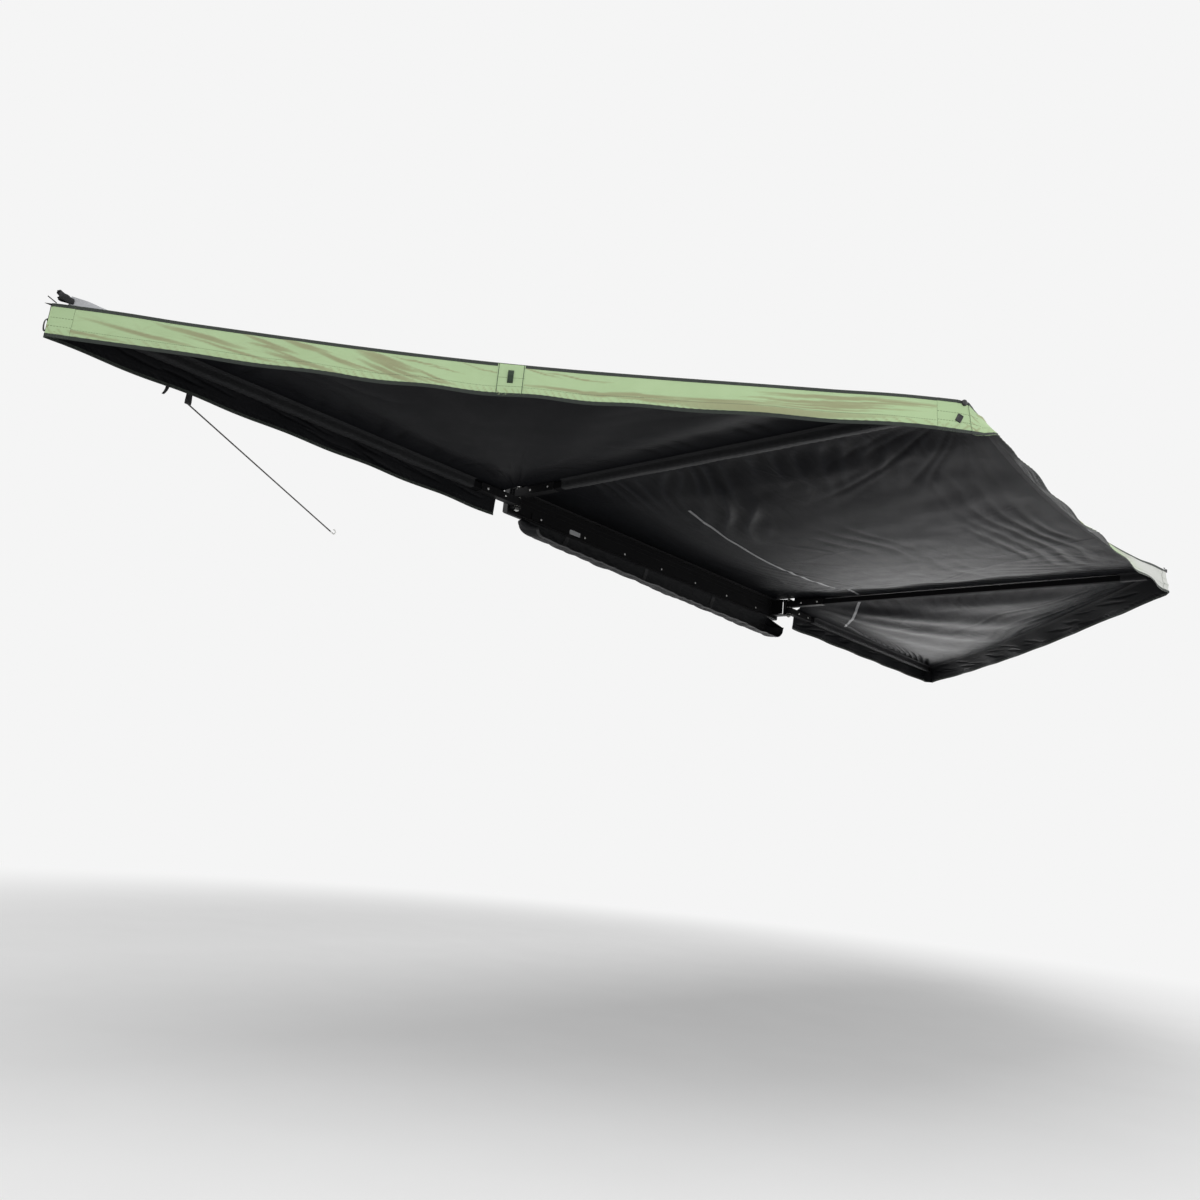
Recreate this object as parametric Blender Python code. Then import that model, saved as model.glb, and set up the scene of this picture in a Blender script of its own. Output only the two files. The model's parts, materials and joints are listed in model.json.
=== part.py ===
"""Vehicle side awning, opened to 180 degrees.

Row frame: +X runs forward along the vehicle, -Y points away from its side, +Z is up.
The origin is the middle of the underside of the middle mounting bracket's foot.
Four hinged arms fan out from two pivots on a long aluminium base and carry the canopy.
"""

import math

import bmesh
import bpy
from mathutils import Matrix, Vector

# Gaps and sheet thicknesses
TOUCH = 0.0003
CLOTH = 0.002
WEBBING = 0.0016

# Mounting brackets, whose feet rest on the rack's crossbars
BRACKET_PITCH = 0.75
BRACKET_WIDTH = 0.066
BRACKET_PLATE = 0.005
BRACKET_FOOT = 0.080
BRACKET_HEIGHT = 0.060
BRACKET_BEND = 0.008
BRACKET_SLOT_WIDTH = 0.0086
BRACKET_SLOT_LENGTH = 0.046
BRACKET_SLOT_SPREAD = 0.036

# Bolts that clamp the brackets in the base's T-slot
SLOT_BOLT_RADIUS = 0.004
SLOT_BOLT_FLATS = 0.013
SLOT_HEAD_HEIGHT = 0.0053
SLOT_NUT_HEIGHT = 0.008
SLOT_NUT_FLANGE = 0.009
SLOT_FLANGE_HEIGHT = 0.0016
SLOT_THREAD_SHOW = 0.004

# Base extrusion: a channel with a T-slot behind and two rope tracks in front
BASE_BEYOND_PIVOT = 0.020
TRACK_BELOW_EAR = 0.0066
TRACK_ABOVE_EAR = 0.0006
BASE_DEPTH = 0.0165
BASE_WALL = 0.003
BASE_LIP = 0.010
TSLOT_HEIGHT = 0.035
TSLOT_CAVITY = 0.016
TSLOT_MOUTH = 0.0088
TRACK_OUTER = 0.006
TRACK_BORE = 0.004
TRACK_MOUTH = 0.0036
GROOVE_HEIGHTS = (0.052, 0.072)
GROOVE_WIDTH = 0.003
GROOVE_DEPTH = 0.001
END_CAP_THICKNESS = 0.006
END_CAP_EDGE = 0.0012

# Clamp strip, rivets and bare plate on the front of the base
STRIP_TO_HINGE_PLATE = 0.088
STRIP_BOTTOM = 0.0
STRIP_HEIGHT = 0.025
STRIP_THICKNESS = 0.003
STRIP_EDGE = 0.0008
RIVET_COUNT = 7
RIVET_FROM_END = 0.060
RIVET_RADIUS = 0.005
RIVET_HEIGHT = 0.0025
HEAD_SINK = 0.0005
PLATE_LENGTH = 0.070
PLATE_HEIGHT = 0.021
PLATE_THICKNESS = 0.001
PLATE_CORNER = 0.003
PLATE_FROM_FIRST_RIVET = 0.220

# Pivots: each carries an upper (inner) arm and a lower (outer) arm on one bolt
PIVOT_SPACING = 2.120
REAR_LANE = 0.042
LANE_STEP = 0.060
PIVOT_MID_HEIGHT = 0.048
KNUCKLE_WALL = 0.003
WASHER_THICKNESS = 0.003
WASHER_RADIUS = 0.013
EAR_THICKNESS = 0.005
EAR_RADIUS = 0.018
EAR_NOSE_ARC = (190, 320)
PIVOT_BOLT_RADIUS = 0.005
PIVOT_HEAD_FLATS = 0.017
PIVOT_HEAD_HEIGHT = 0.0064
PIVOT_NUT_HEIGHT = 0.009
PIVOT_THREAD_SHOW = 0.003
HINGE_PLATE_WIDTH = 0.056
HINGE_PLATE_INSET = 0.006
HINGE_WEB = 0.004
WEB_CLEARANCE = 0.0035
HINGE_SCREW_RADIUS = 0.005
HINGE_SCREW_HEIGHT = 0.003

# Arms
ARM_REACH = 1.880
TUBE_WIDTH = 0.028
TUBE_WALL = 0.0018
TUBE_CORNER = 0.003
KNUCKLE_LENGTH = 0.220
TUBE_START = 0.040
TIP_PLUG_LENGTH = 0.030
TIP_FLANGE = 0.006
TIP_PLUG_CORNER = 0.0012
ARM_SCREW_RADIUS = 0.0045
ARM_SCREW_HEIGHT = 0.0028
ARM_SCREW_PLACES = (0.085, 0.185)

# Canopy and its hems
HEM_BEYOND_TIP = 0.046
EDGE_BESIDE_ARM = 0.024
WING_START = 0.090
LEVEL_FULL_SHARE = 0.97
CENTER_SAG = 0.085
CENTER_HEM_SAG = 0.045
CENTER_HEM_BOW = 0.060
HEM_BOW_SHAPE = 0.8
WING_SAG = 0.055
WING_SAG_REACH = 0.8
WING_HEM_BOW = 0.010
FOLD_DEPTH = 0.009
FOLD_COUNT = 5
FOLD_REACH = 0.35
FOLD_STILL_AT_HEM = 6
FOLD_TURN = 2.5
EDGE_COLUMN = 0.022
CLEAR_RUN = 0.25
VALANCE_DROP = 0.106
VALANCE_FOLD = 0.006
CENTER_LEANS = ((0.0, 5), (0.05, 33), (0.12, 45), (0.30, 48), (0.55, 48), (0.80, 28), (1.0, 4))
WING_LEANS = {"rear": ((0.0, 0), (1.0, 0)), "front": ((0.0, 4), (0.15, 30), (0.85, 32), (1.0, 10))}
WING_VALANCE_FOLDS = 7
CENTER_VALANCE_FOLDS = 6
FLAP_FOLDS = 5
VALANCE_TRIM = 0.010
FLAP_DROP = 0.100
FLAP_TRIM = 0.005
CENTER_STEPS = (22, 22)
WING_STEPS = (16, 17)
VALANCE_STEPS = (36, 3)
FLAP_STEPS = (20, 3)
SLEEVE_START = 0.262
SLEEVE_SLACK = 0.0004
SLEEVE_FROM_TIP = 0.030
POCKET_LENGTH = 0.110

# Travel cover, a soft trough that hangs under the base when the awning is open
COVER_LENGTH = 1.980
COVER_REAR_DROP = 0.088
COVER_FRONT_DROP = 0.132
COVER_END_ROUND = 0.060
COVER_BELLY = 0.018
COVER_TURN = 0.045
COVER_STRAIGHT_SHARE = 0.55
COVER_LIP = 0.110
COVER_SWAY = 0.004
COVER_STEPS = (32, 12)

# Guy line from the rear outer arm's flap to the vehicle's rack
GUY_FLAP_COLUMN = 15
GUY_DIAMETER = 0.005
GUY_TAB_WIDTH = 0.020
GUY_TAB_DROP = 0.030
GUY_FOOT_BACK = 0.800
GUY_FOOT_IN = 0.120
GUY_FOOT_DOWN = 0.360
GUY_POINTS = 30
HOOK_WIRE = 0.0022
HOOK_RADIUS = 0.008
HOOK_SHANK = 0.014
HOOK_STEPS = 9
HOOK_STEP_ANGLE = 25

# Places that follow from the sizes above
KNUCKLE_HEIGHT = TUBE_WIDTH + 2 * KNUCKLE_WALL
BASE_LENGTH = PIVOT_SPACING + 2 * BASE_BEYOND_PIVOT
STRIP_LENGTH = BASE_LENGTH - 2 * (HINGE_PLATE_INSET + HINGE_PLATE_WIDTH + STRIP_TO_HINGE_PLATE)
RIVET_PITCH = (STRIP_LENGTH - 2 * RIVET_FROM_END) / (RIVET_COUNT - 1)
BASE_BACK = -BRACKET_FOOT / 2 - TOUCH
BASE_FRONT = BASE_BACK - BASE_DEPTH
ARM_LEVEL_STEP = KNUCKLE_HEIGHT + WASHER_THICKNESS + 2 * TOUCH
UPPER_LEVEL = PIVOT_MID_HEIGHT + ARM_LEVEL_STEP / 2
LOWER_LEVEL = PIVOT_MID_HEIGHT - ARM_LEVEL_STEP / 2
REAR_PIVOT = Vector((-PIVOT_SPACING / 2, BASE_FRONT - REAR_LANE, 0.0))
FRONT_PIVOT = Vector((PIVOT_SPACING / 2, BASE_FRONT - REAR_LANE - LANE_STEP, 0.0))
UPPER_EAR_UNDERSIDE = UPPER_LEVEL + KNUCKLE_HEIGHT / 2 + WASHER_THICKNESS + 2 * TOUCH
LOWER_EAR_TOP = LOWER_LEVEL - KNUCKLE_HEIGHT / 2 - WASHER_THICKNESS - 2 * TOUCH
PIVOT_HEAD_BASE = UPPER_EAR_UNDERSIDE + EAR_THICKNESS + TOUCH
BASE_TOP = UPPER_EAR_UNDERSIDE + EAR_THICKNESS + TRACK_ABOVE_EAR + 2 * TRACK_OUTER
BASE_BOTTOM = LOWER_EAR_TOP - EAR_THICKNESS - TRACK_BELOW_EAR - 2 * TRACK_OUTER
CANOPY_OVER_UPPER = UPPER_LEVEL + KNUCKLE_HEIGHT / 2 + TOUCH + CLOTH
CANOPY_OVER_LOWER = LOWER_LEVEL + KNUCKLE_HEIGHT / 2 + TOUCH + CLOTH
CANOPY_AT_BASE = PIVOT_HEAD_BASE + PIVOT_HEAD_HEIGHT + TOUCH + CLOTH
CANOPY_BASE_EDGE = BASE_FRONT - 2 * TRACK_OUTER - TOUCH
CANOPY_BASE_FLAT = 0.200
CANOPY_BASE_SLOPE = 0.300
HEM_REACH = ARM_REACH + HEM_BEYOND_TIP
COVER_HINGE_Y = BASE_FRONT - TRACK_OUTER
COVER_HINGE_Z = BASE_BOTTOM + TRACK_OUTER


def clear_scene():
    for obj in list(bpy.data.objects):
        bpy.data.objects.remove(obj, do_unlink=True)


def make_material(name, color, roughness, metallic=0.0):
    mat = bpy.data.materials.new(name)
    mat.use_nodes = True
    shader = mat.node_tree.nodes["Principled BSDF"]
    shader.inputs["Base Color"].default_value = (*color, 1.0)
    shader.inputs["Roughness"].default_value = roughness
    shader.inputs["Metallic"].default_value = metallic
    mat.diffuse_color = (*color, 1.0)
    return mat


def make_materials():
    return {
        "black_coated": make_material("black_coated", (0.025, 0.026, 0.028), 0.45, 0.2),
        "alloy": make_material("alloy", (0.55, 0.56, 0.57), 0.35, 1.0),
        "steel": make_material("steel", (0.62, 0.62, 0.60), 0.3, 1.0),
        "black_plastic": make_material("black_plastic", (0.02, 0.02, 0.022), 0.55),
        "nylon": make_material("nylon", (0.75, 0.75, 0.72), 0.5),
        "canopy_cloth": make_material("canopy_cloth", (0.13, 0.135, 0.14), 0.85),
        "valance_cloth": make_material("valance_cloth", (0.37, 0.50, 0.28), 0.9),
        "sleeve_cloth": make_material("sleeve_cloth", (0.03, 0.032, 0.035), 0.95),
        "cover_vinyl": make_material("cover_vinyl", (0.035, 0.036, 0.04), 0.6),
        "webbing": make_material("webbing", (0.02, 0.02, 0.02), 0.9),
        "guy_line": make_material("guy_line", (0.10, 0.10, 0.10), 0.9),
    }


def make_empty(name, matrix):
    empty = bpy.data.objects.new(name, None)
    bpy.context.collection.objects.link(empty)
    empty.matrix_basis = matrix
    return empty


def attach(obj, parent):
    """Parent without moving: every parent empty stands in world space."""
    obj.parent = parent
    obj.matrix_parent_inverse = parent.matrix_basis.inverted()


def make_object(name, mesh, mat, parent=None, smooth=False):
    obj = bpy.data.objects.new(name, mesh)
    bpy.context.collection.objects.link(obj)
    if not mesh.materials:
        mesh.materials.append(mat)
    if smooth:
        mesh.shade_smooth()
        mesh.set_sharp_from_angle(angle=math.radians(35))
    if parent:
        attach(obj, parent)
    return obj


def to_mesh(name, bm):
    bmesh.ops.recalc_face_normals(bm, faces=bm.faces)
    mesh = bpy.data.meshes.new(name)
    bm.to_mesh(mesh)
    bm.free()
    return mesh


def axis_frame(axis):
    """Matrix that turns local +Z to the given world axis and keeps outlines upright."""
    if axis == "X":
        return Matrix(((0, 0, 1), (1, 0, 0), (0, 1, 0))).to_4x4()
    if axis == "Y":
        return Matrix(((1, 0, 0), (0, 0, 1), (0, 1, 0))).to_4x4()
    return Matrix.Identity(4)


def add_prism(bm, outline, axis, start, end):
    """Extrude a flat outline along X (outline is y, z), Y (x, z) or Z (x, y)."""
    turn = axis_frame(axis)
    verts = [bm.verts.new(turn @ Vector((a, b, start))) for a, b in outline]
    face = bm.faces.new(verts)
    grown = bmesh.ops.extrude_face_region(bm, geom=[face])
    moved = [item for item in grown["geom"] if isinstance(item, bmesh.types.BMVert)]
    step = turn @ Vector((0, 0, end - start))
    bmesh.ops.translate(bm, verts=moved, vec=step)


def prism_mesh(name, outline, axis, start, end):
    bm = bmesh.new()
    add_prism(bm, outline, axis, start, end)
    return to_mesh(name, bm)


def arc(center, radius, start, end, steps):
    """Points on an arc, angles in radians, both ends included."""
    cx, cy = center
    points = []
    for index in range(steps + 1):
        angle = start + (end - start) * index / steps
        points.append((cx + radius * math.cos(angle), cy + radius * math.sin(angle)))
    return points


def circle(center, radius, steps=20):
    return arc(center, radius, 0.0, math.tau * (steps - 1) / steps, steps - 1)


def flats_outline(center, flats, steps):
    """A hexagon's outline read at more points, so that it pairs with a circle's."""
    points = []
    for index in range(steps):
        angle = math.tau * index / steps
        reach = flats / 2 / math.cos(angle % (math.pi / 3) - math.pi / 6)
        points.append((center[0] + reach * math.cos(angle), center[1] + reach * math.sin(angle)))
    return points


def rounded_box(center, width, height, radius, steps=2):
    cx, cy = center
    w = width / 2 - radius
    h = height / 2 - radius
    points = []
    for corner, (sx, sy) in enumerate(((1, 1), (-1, 1), (-1, -1), (1, -1))):
        start = math.pi / 2 * corner
        points += arc((cx + sx * w, cy + sy * h), radius, start, start + math.pi / 2, steps)
    return points


def slot_outline(center, width, length, steps=6):
    """A slot with round ends whose length runs along the second coordinate."""
    cx, cy = center
    half = length / 2 - width / 2
    top = arc((cx, cy + half), width / 2, 0.0, math.pi, steps)
    bottom = arc((cx, cy - half), width / 2, math.pi, math.tau, steps)
    return top + bottom


def add_boolean(obj, mesh, operation, place=None):
    """Cut or join a hidden guide, which stands where place puts it."""
    guide = bpy.data.objects.new(f"guide_{obj.name}_{len(obj.modifiers)}", mesh)
    bpy.context.collection.objects.link(guide)
    guide.hide_render = True
    guide.display_type = "WIRE"
    guide.matrix_basis = place or Matrix.Identity(4)
    boolean = obj.modifiers.new(guide.name, "BOOLEAN")
    boolean.operation = operation
    boolean.solver = "EXACT"
    boolean.object = guide


def cut(obj, outline, axis, start, end, place=None):
    """Take an extruded outline out of a solid."""
    add_boolean(obj, prism_mesh("cutter", outline, axis, start, end), "DIFFERENCE", place)


def smoothstep(value):
    value = min(max(value, 0.0), 1.0)
    return value * value * (3 - 2 * value)


def sheet_mesh(name, rows, offset):
    """A closed sheet from a grid of points, thickened along one offset vector."""
    bm = bmesh.new()
    grid = [[bm.verts.new(point) for point in row] for row in rows]
    faces = []
    for low, high in zip(grid, grid[1:]):
        for a, b, c, d in zip(low, low[1:], high[1:], high):
            faces.append(bm.faces.new((a, b, c, d)))
    grown = bmesh.ops.extrude_face_region(bm, geom=faces)
    moved = [item for item in grown["geom"] if isinstance(item, bmesh.types.BMVert)]
    bmesh.ops.translate(bm, verts=moved, vec=offset)
    return to_mesh(name, bm)


# Base extrusion


def track_path(center, mouth, start, end):
    """Walk clockwise round a rope track, in and out of its bore at the mouth."""
    outer_half = math.asin(TRACK_MOUTH / 2 / TRACK_OUTER)
    bore_half = math.asin(TRACK_MOUTH / 2 / TRACK_BORE)
    first = arc(center, TRACK_OUTER, start, mouth + outer_half, 4)
    bore = arc(center, TRACK_BORE, mouth + bore_half, mouth - bore_half + math.tau, 10)
    last = arc(center, TRACK_OUTER, mouth - outer_half, end, 4)
    return first + bore + last


def base_outline():
    """Section of the extrusion in Y and Z, one loop that starts at its top back corner."""
    front, back = BASE_FRONT, BASE_BACK
    bottom, top = BASE_BOTTOM, BASE_TOP
    wall, lip = BASE_WALL, BASE_LIP
    inner = front + wall
    hook = back - wall
    slot = TSLOT_HEIGHT
    cavity = TSLOT_CAVITY / 2
    mouth = TSLOT_MOUTH / 2
    points = [
        (back, top), (back, top - lip), (hook, top - lip), (hook, top - wall), (inner, top - wall),
        (inner, slot + cavity + wall), (back, slot + cavity + wall), (back, slot + mouth),
        (hook, slot + mouth), (hook, slot + cavity), (inner, slot + cavity),
        (inner, slot - cavity), (hook, slot - cavity), (hook, slot - mouth),
        (back, slot - mouth), (back, slot - cavity - wall), (inner, slot - cavity - wall),
        (inner, bottom + wall), (hook, bottom + wall), (hook, bottom + lip), (back, bottom + lip),
        (back, bottom), (front, bottom),
    ]
    lower = (front - TRACK_OUTER, bottom + TRACK_OUTER)
    points += track_path(lower, -math.pi / 2, math.radians(-50), -math.pi * 1.5)
    points.append((front, bottom + 2 * TRACK_OUTER))
    for height in GROOVE_HEIGHTS:
        points += [
            (front, height - GROOVE_WIDTH / 2), (front + GROOVE_DEPTH, height - GROOVE_WIDTH / 4),
            (front + GROOVE_DEPTH, height + GROOVE_WIDTH / 4), (front, height + GROOVE_WIDTH / 2),
        ]
    upper = (front - TRACK_OUTER, top - TRACK_OUTER)
    points.append((front, top - 2 * TRACK_OUTER))
    points += track_path(upper, math.radians(135), math.pi * 1.5, math.pi / 2)
    return points


def build_base(mats):
    half = BASE_LENGTH / 2
    mesh = prism_mesh("base_extrusion", base_outline(), "X", -half, half)
    make_object("base_extrusion", mesh, mats["black_coated"])
    for name, height in (("canopy_rope", BASE_TOP - TRACK_OUTER), ("cover_rope", BASE_BOTTOM + TRACK_OUTER)):
        ring = circle((BASE_FRONT - TRACK_OUTER, height), TRACK_BORE - TOUCH, 10)
        mesh = prism_mesh(name, ring, "X", -half, half)
        make_object(name, mesh, mats["sleeve_cloth"], smooth=True)
    build_end_caps(mats)
    build_clamp_strip(mats)


def build_end_caps(mats):
    """Moulded caps that cover the section, rounded at their outer corners."""
    depth = BASE_DEPTH + 2 * TRACK_OUTER
    center = (BASE_BACK - depth / 2, (BASE_TOP + BASE_BOTTOM) / 2)
    outline = rounded_box(center, depth, BASE_TOP - BASE_BOTTOM, TRACK_OUTER, 4)
    for name, side in (("end_cap_rear", -1), ("end_cap_front", 1)):
        near = side * (BASE_LENGTH / 2 + TOUCH)
        mesh = prism_mesh(name, outline, "X", near, near + side * END_CAP_THICKNESS)
        cap = make_object(name, mesh, mats["black_plastic"])
        add_bevel(cap, END_CAP_EDGE, 2)


def add_bevel(obj, width, segments):
    bevel = obj.modifiers.new("edge_round", "BEVEL")
    bevel.width = width
    bevel.segments = segments
    bevel.limit_method = "ANGLE"
    bevel.angle_limit = math.radians(50)


def add_dome(bm, center, direction, radius, height, steps=10):
    """A domed head: a turned profile whose flat side faces away from direction."""
    profile = [(radius * 0.55, height * 0.86), (radius * 0.92, height * 0.42), (radius, 0.0)]
    turn = direction.to_track_quat("Z", "Y").to_matrix().to_4x4()
    place = Matrix.Translation(center) @ turn
    top = bm.verts.new(place @ Vector((0, 0, height)))
    rings = []
    for r, h in profile:
        ring = circle((0, 0), r, steps)
        rings.append([bm.verts.new(place @ Vector((x, y, h))) for x, y in ring])
    for a, b in zip(rings[0], rings[0][1:] + rings[0][:1]):
        bm.faces.new((top, a, b))
    for low, high in zip(rings, rings[1:]):
        for index in range(steps):
            after = (index + 1) % steps
            bm.faces.new((low[index], high[index], high[after], low[after]))
    bm.faces.new(rings[-1])


def build_clamp_strip(mats):
    """Riveted strip that clamps the cloth edge, with a bare plate on its face."""
    face = BASE_FRONT - TOUCH
    low = STRIP_BOTTOM
    center = (face - STRIP_THICKNESS / 2, low + STRIP_HEIGHT / 2)
    half = STRIP_LENGTH / 2
    outline = rounded_box(center, STRIP_THICKNESS, STRIP_HEIGHT, STRIP_EDGE, 2)
    mesh = prism_mesh("clamp_strip", outline, "X", -half, half)
    strip = make_object("clamp_strip", mesh, mats["black_coated"])
    strip_face = face - STRIP_THICKNESS
    first = -RIVET_PITCH * (RIVET_COUNT - 1) / 2
    bm = bmesh.new()
    for index in range(RIVET_COUNT):
        place = Vector((first + index * RIVET_PITCH, strip_face + HEAD_SINK, low + STRIP_HEIGHT / 2))
        add_dome(bm, place, Vector((0, -1, 0)), RIVET_RADIUS, RIVET_HEIGHT + HEAD_SINK)
    add_boolean(strip, to_mesh("rivet_heads", bm), "UNION")
    center = (first + PLATE_FROM_FIRST_RIVET, low + STRIP_HEIGHT / 2)
    outline = rounded_box(center, PLATE_LENGTH, PLATE_HEIGHT, PLATE_CORNER, 3)
    plate_back = strip_face - TOUCH
    mesh = prism_mesh("bare_plate", outline, "Y", plate_back, plate_back - PLATE_THICKNESS)
    make_object("bare_plate", mesh, mats["alloy"])


# Mounting brackets


def bracket_outline():
    """Bent L in Y and Z: the foot lies on z = 0 and the leg stands at the base's back."""
    near, far = -BRACKET_FOOT / 2, BRACKET_FOOT / 2
    plate, bend, top = BRACKET_PLATE, BRACKET_BEND, BRACKET_HEIGHT
    outer = arc((near + bend, bend), bend, math.pi, math.pi * 1.5, 5)
    inner = arc((near + bend, bend), bend - plate, math.pi * 1.5, math.pi, 4)
    return [(near, top)] + outer + [(far, 0.0), (far, plate)] + inner + [(near + plate, top)]


def build_brackets(mats):
    for name, side in (("rear", -1), ("middle", 0), ("front", 1)):
        x = side * BRACKET_PITCH
        half = BRACKET_WIDTH / 2
        mesh = prism_mesh(f"mount_bracket_{name}", bracket_outline(), "X", x - half, x + half)
        bracket = make_object(f"mount_bracket_{name}", mesh, mats["black_coated"])
        for offset in (-BRACKET_SLOT_SPREAD / 2, BRACKET_SLOT_SPREAD / 2):
            foot_slot = slot_outline((x + offset, BRACKET_BEND / 2), BRACKET_SLOT_WIDTH, BRACKET_SLOT_LENGTH)
            cut(bracket, foot_slot, "Z", -BRACKET_PLATE, 2 * BRACKET_PLATE)
        leg_hole = circle((x, TSLOT_HEIGHT), SLOT_BOLT_RADIUS + TOUCH, 12)
        cut(bracket, leg_hole, "Y", -BRACKET_FOOT, 0.0)
        build_slot_bolt(name, x, mats)


def build_slot_bolt(name, x, mats):
    """Hexagon bolt whose head slides in the T-slot, with a flanged nut on the leg."""
    center = (x, TSLOT_HEIGHT)
    head_face = BASE_BACK - BASE_WALL - TOUCH
    nut_start = -BRACKET_FOOT / 2 + BRACKET_PLATE + TOUCH
    nut_end = nut_start + SLOT_NUT_HEIGHT
    bm = bmesh.new()
    head = flats_outline(center, SLOT_BOLT_FLATS, 12)
    thread = circle(center, SLOT_BOLT_RADIUS, 12)
    add_stepped(bm, head, thread, head_face - SLOT_HEAD_HEIGHT, head_face, nut_end + SLOT_THREAD_SHOW)
    make_object(f"bracket_bolt_{name}", to_mesh(f"bracket_bolt_{name}", bm), mats["steel"])
    bm = bmesh.new()
    flange = circle(center, SLOT_NUT_FLANGE, 12)
    body = flats_outline(center, SLOT_BOLT_FLATS, 12)
    shoulder = nut_start + SLOT_FLANGE_HEIGHT
    sections = ((flange, nut_start), (flange, shoulder), (body, shoulder), (body, nut_end))
    add_bored(bm, sections, center, SLOT_BOLT_RADIUS + TOUCH)
    make_object(f"bracket_nut_{name}", to_mesh(f"bracket_nut_{name}", bm), mats["steel"])


def add_stepped(bm, wide, narrow, start, shoulder, end, axis="Y"):
    """A headed pin: a wide outline up to the shoulder, then a narrow one of as many points."""
    turn = axis_frame(axis)
    rings = []
    for outline, level in ((wide, start), (wide, shoulder), (narrow, shoulder), (narrow, end)):
        rings.append([bm.verts.new(turn @ Vector((a, b, level))) for a, b in outline])
    bm.faces.new(rings[0])
    bm.faces.new(rings[-1])
    for low, high in zip(rings, rings[1:]):
        count = len(low)
        for index in range(count):
            after = (index + 1) % count
            bm.faces.new((low[index], high[index], high[after], low[after]))


def add_bored(bm, sections, center, bore, axis="Y"):
    """A nut or washer: outlines at their levels, with a round bore right through."""
    turn = axis_frame(axis)
    hole = circle(center, bore, len(sections[0][0]))
    levels = list(sections) + [(hole, sections[-1][1]), (hole, sections[0][1])]
    loops = []
    for points, level in levels:
        loops.append([bm.verts.new(turn @ Vector((a, b, level))) for a, b in points])
    for low, high in zip(loops, loops[1:] + loops[:1]):
        count = len(low)
        for index in range(count):
            after = (index + 1) % count
            bm.faces.new((low[index], high[index], high[after], low[after]))


# Pivots


def ear_outline(pivot, side):
    """Plan of a hinge ear: straight sides from the plate to a round nose about the pivot."""
    inner_x = side * (BASE_LENGTH / 2 - HINGE_PLATE_INSET - HINGE_PLATE_WIDTH)
    outer_x = side * (BASE_LENGTH / 2 - HINGE_PLATE_INSET)
    y = BASE_FRONT - TOUCH
    start, end = (math.radians(angle) for angle in EAR_NOSE_ARC)
    nose = arc((0.0, 0.0), EAR_RADIUS, start, end, 8)
    outline = [(inner_x, y), (outer_x, y)]
    return outline + [(pivot.x - side * a, pivot.y + b) for a, b in nose]


def build_hinge_bracket(name, pivot, side, mats):
    """Bracket with two ears, bored for the pivot bolt, joined by a back plate and a web."""
    low = LOWER_EAR_TOP - EAR_THICKNESS
    high = UPPER_EAR_UNDERSIDE + EAR_THICKNESS
    outline = ear_outline(pivot, side)
    mesh = prism_mesh(f"{name}_hinge_bracket", outline, "Z", low, high)
    bracket = make_object(f"{name}_hinge_bracket", mesh, mats["black_coated"])
    plate_front = BASE_FRONT - TOUCH - EAR_THICKNESS
    reach = abs(pivot.y) + 2 * EAR_RADIUS
    span = PIVOT_SPACING
    web_front = pivot.y + KNUCKLE_HEIGHT / 2 + WEB_CLEARANCE
    for near, far in ((plate_front, web_front + HINGE_WEB), (web_front, -reach)):
        opening = [(pivot.x - span, near), (pivot.x - span, far), (pivot.x + span, far), (pivot.x + span, near)]
        cut(bracket, opening, "Z", LOWER_EAR_TOP, UPPER_EAR_UNDERSIDE)
    hole = circle((pivot.x, pivot.y), PIVOT_BOLT_RADIUS + TOUCH, 16)
    cut(bracket, hole, "Z", low - EAR_THICKNESS, high + EAR_THICKNESS)
    screw_x = side * (BASE_LENGTH / 2 - HINGE_PLATE_INSET - HINGE_PLATE_WIDTH / 2)
    bm = bmesh.new()
    for height in (LOWER_LEVEL, UPPER_LEVEL):
        place = Vector((screw_x, plate_front + HEAD_SINK, height))
        add_dome(bm, place, Vector((0, -1, 0)), HINGE_SCREW_RADIUS, HINGE_SCREW_HEIGHT + HEAD_SINK)
    add_boolean(bracket, to_mesh("screw_heads", bm), "UNION")


def build_pivot(name, pivot, side, mats):
    """Hinge bracket with its bolt, nut and the three washers between ears and knuckles."""
    build_hinge_bracket(name, pivot, side, mats)
    center = (pivot.x, pivot.y)
    nut_high = LOWER_EAR_TOP - EAR_THICKNESS - TOUCH
    nut_low = nut_high - PIVOT_NUT_HEIGHT
    head = flats_outline(center, PIVOT_HEAD_FLATS, 12)
    shank = circle(center, PIVOT_BOLT_RADIUS, 12)
    bm = bmesh.new()
    head_top = PIVOT_HEAD_BASE + PIVOT_HEAD_HEIGHT
    add_stepped(bm, head, shank, head_top, PIVOT_HEAD_BASE, nut_low - PIVOT_THREAD_SHOW, "Z")
    make_object(f"{name}_pivot_bolt", to_mesh(f"{name}_pivot_bolt", bm), mats["steel"])
    bore = PIVOT_BOLT_RADIUS + TOUCH
    bm = bmesh.new()
    add_bored(bm, ((head, nut_low), (head, nut_high)), center, bore, "Z")
    make_object(f"{name}_pivot_nut", to_mesh(f"{name}_pivot_nut", bm), mats["steel"])
    washer_lows = {
        "low": LOWER_LEVEL - KNUCKLE_HEIGHT / 2 - TOUCH - WASHER_THICKNESS,
        "middle": LOWER_LEVEL + KNUCKLE_HEIGHT / 2 + TOUCH,
        "high": UPPER_LEVEL + KNUCKLE_HEIGHT / 2 + TOUCH,
    }
    rim = circle(center, WASHER_RADIUS, 16)
    for place, low in washer_lows.items():
        bm = bmesh.new()
        add_bored(bm, ((rim, low), (rim, low + WASHER_THICKNESS)), center, bore, "Z")
        make_object(f"{name}_washer_{place}", to_mesh(f"{name}_washer_{place}", bm), mats["nylon"])


# Arms, each built along local +X from its pivot


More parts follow.
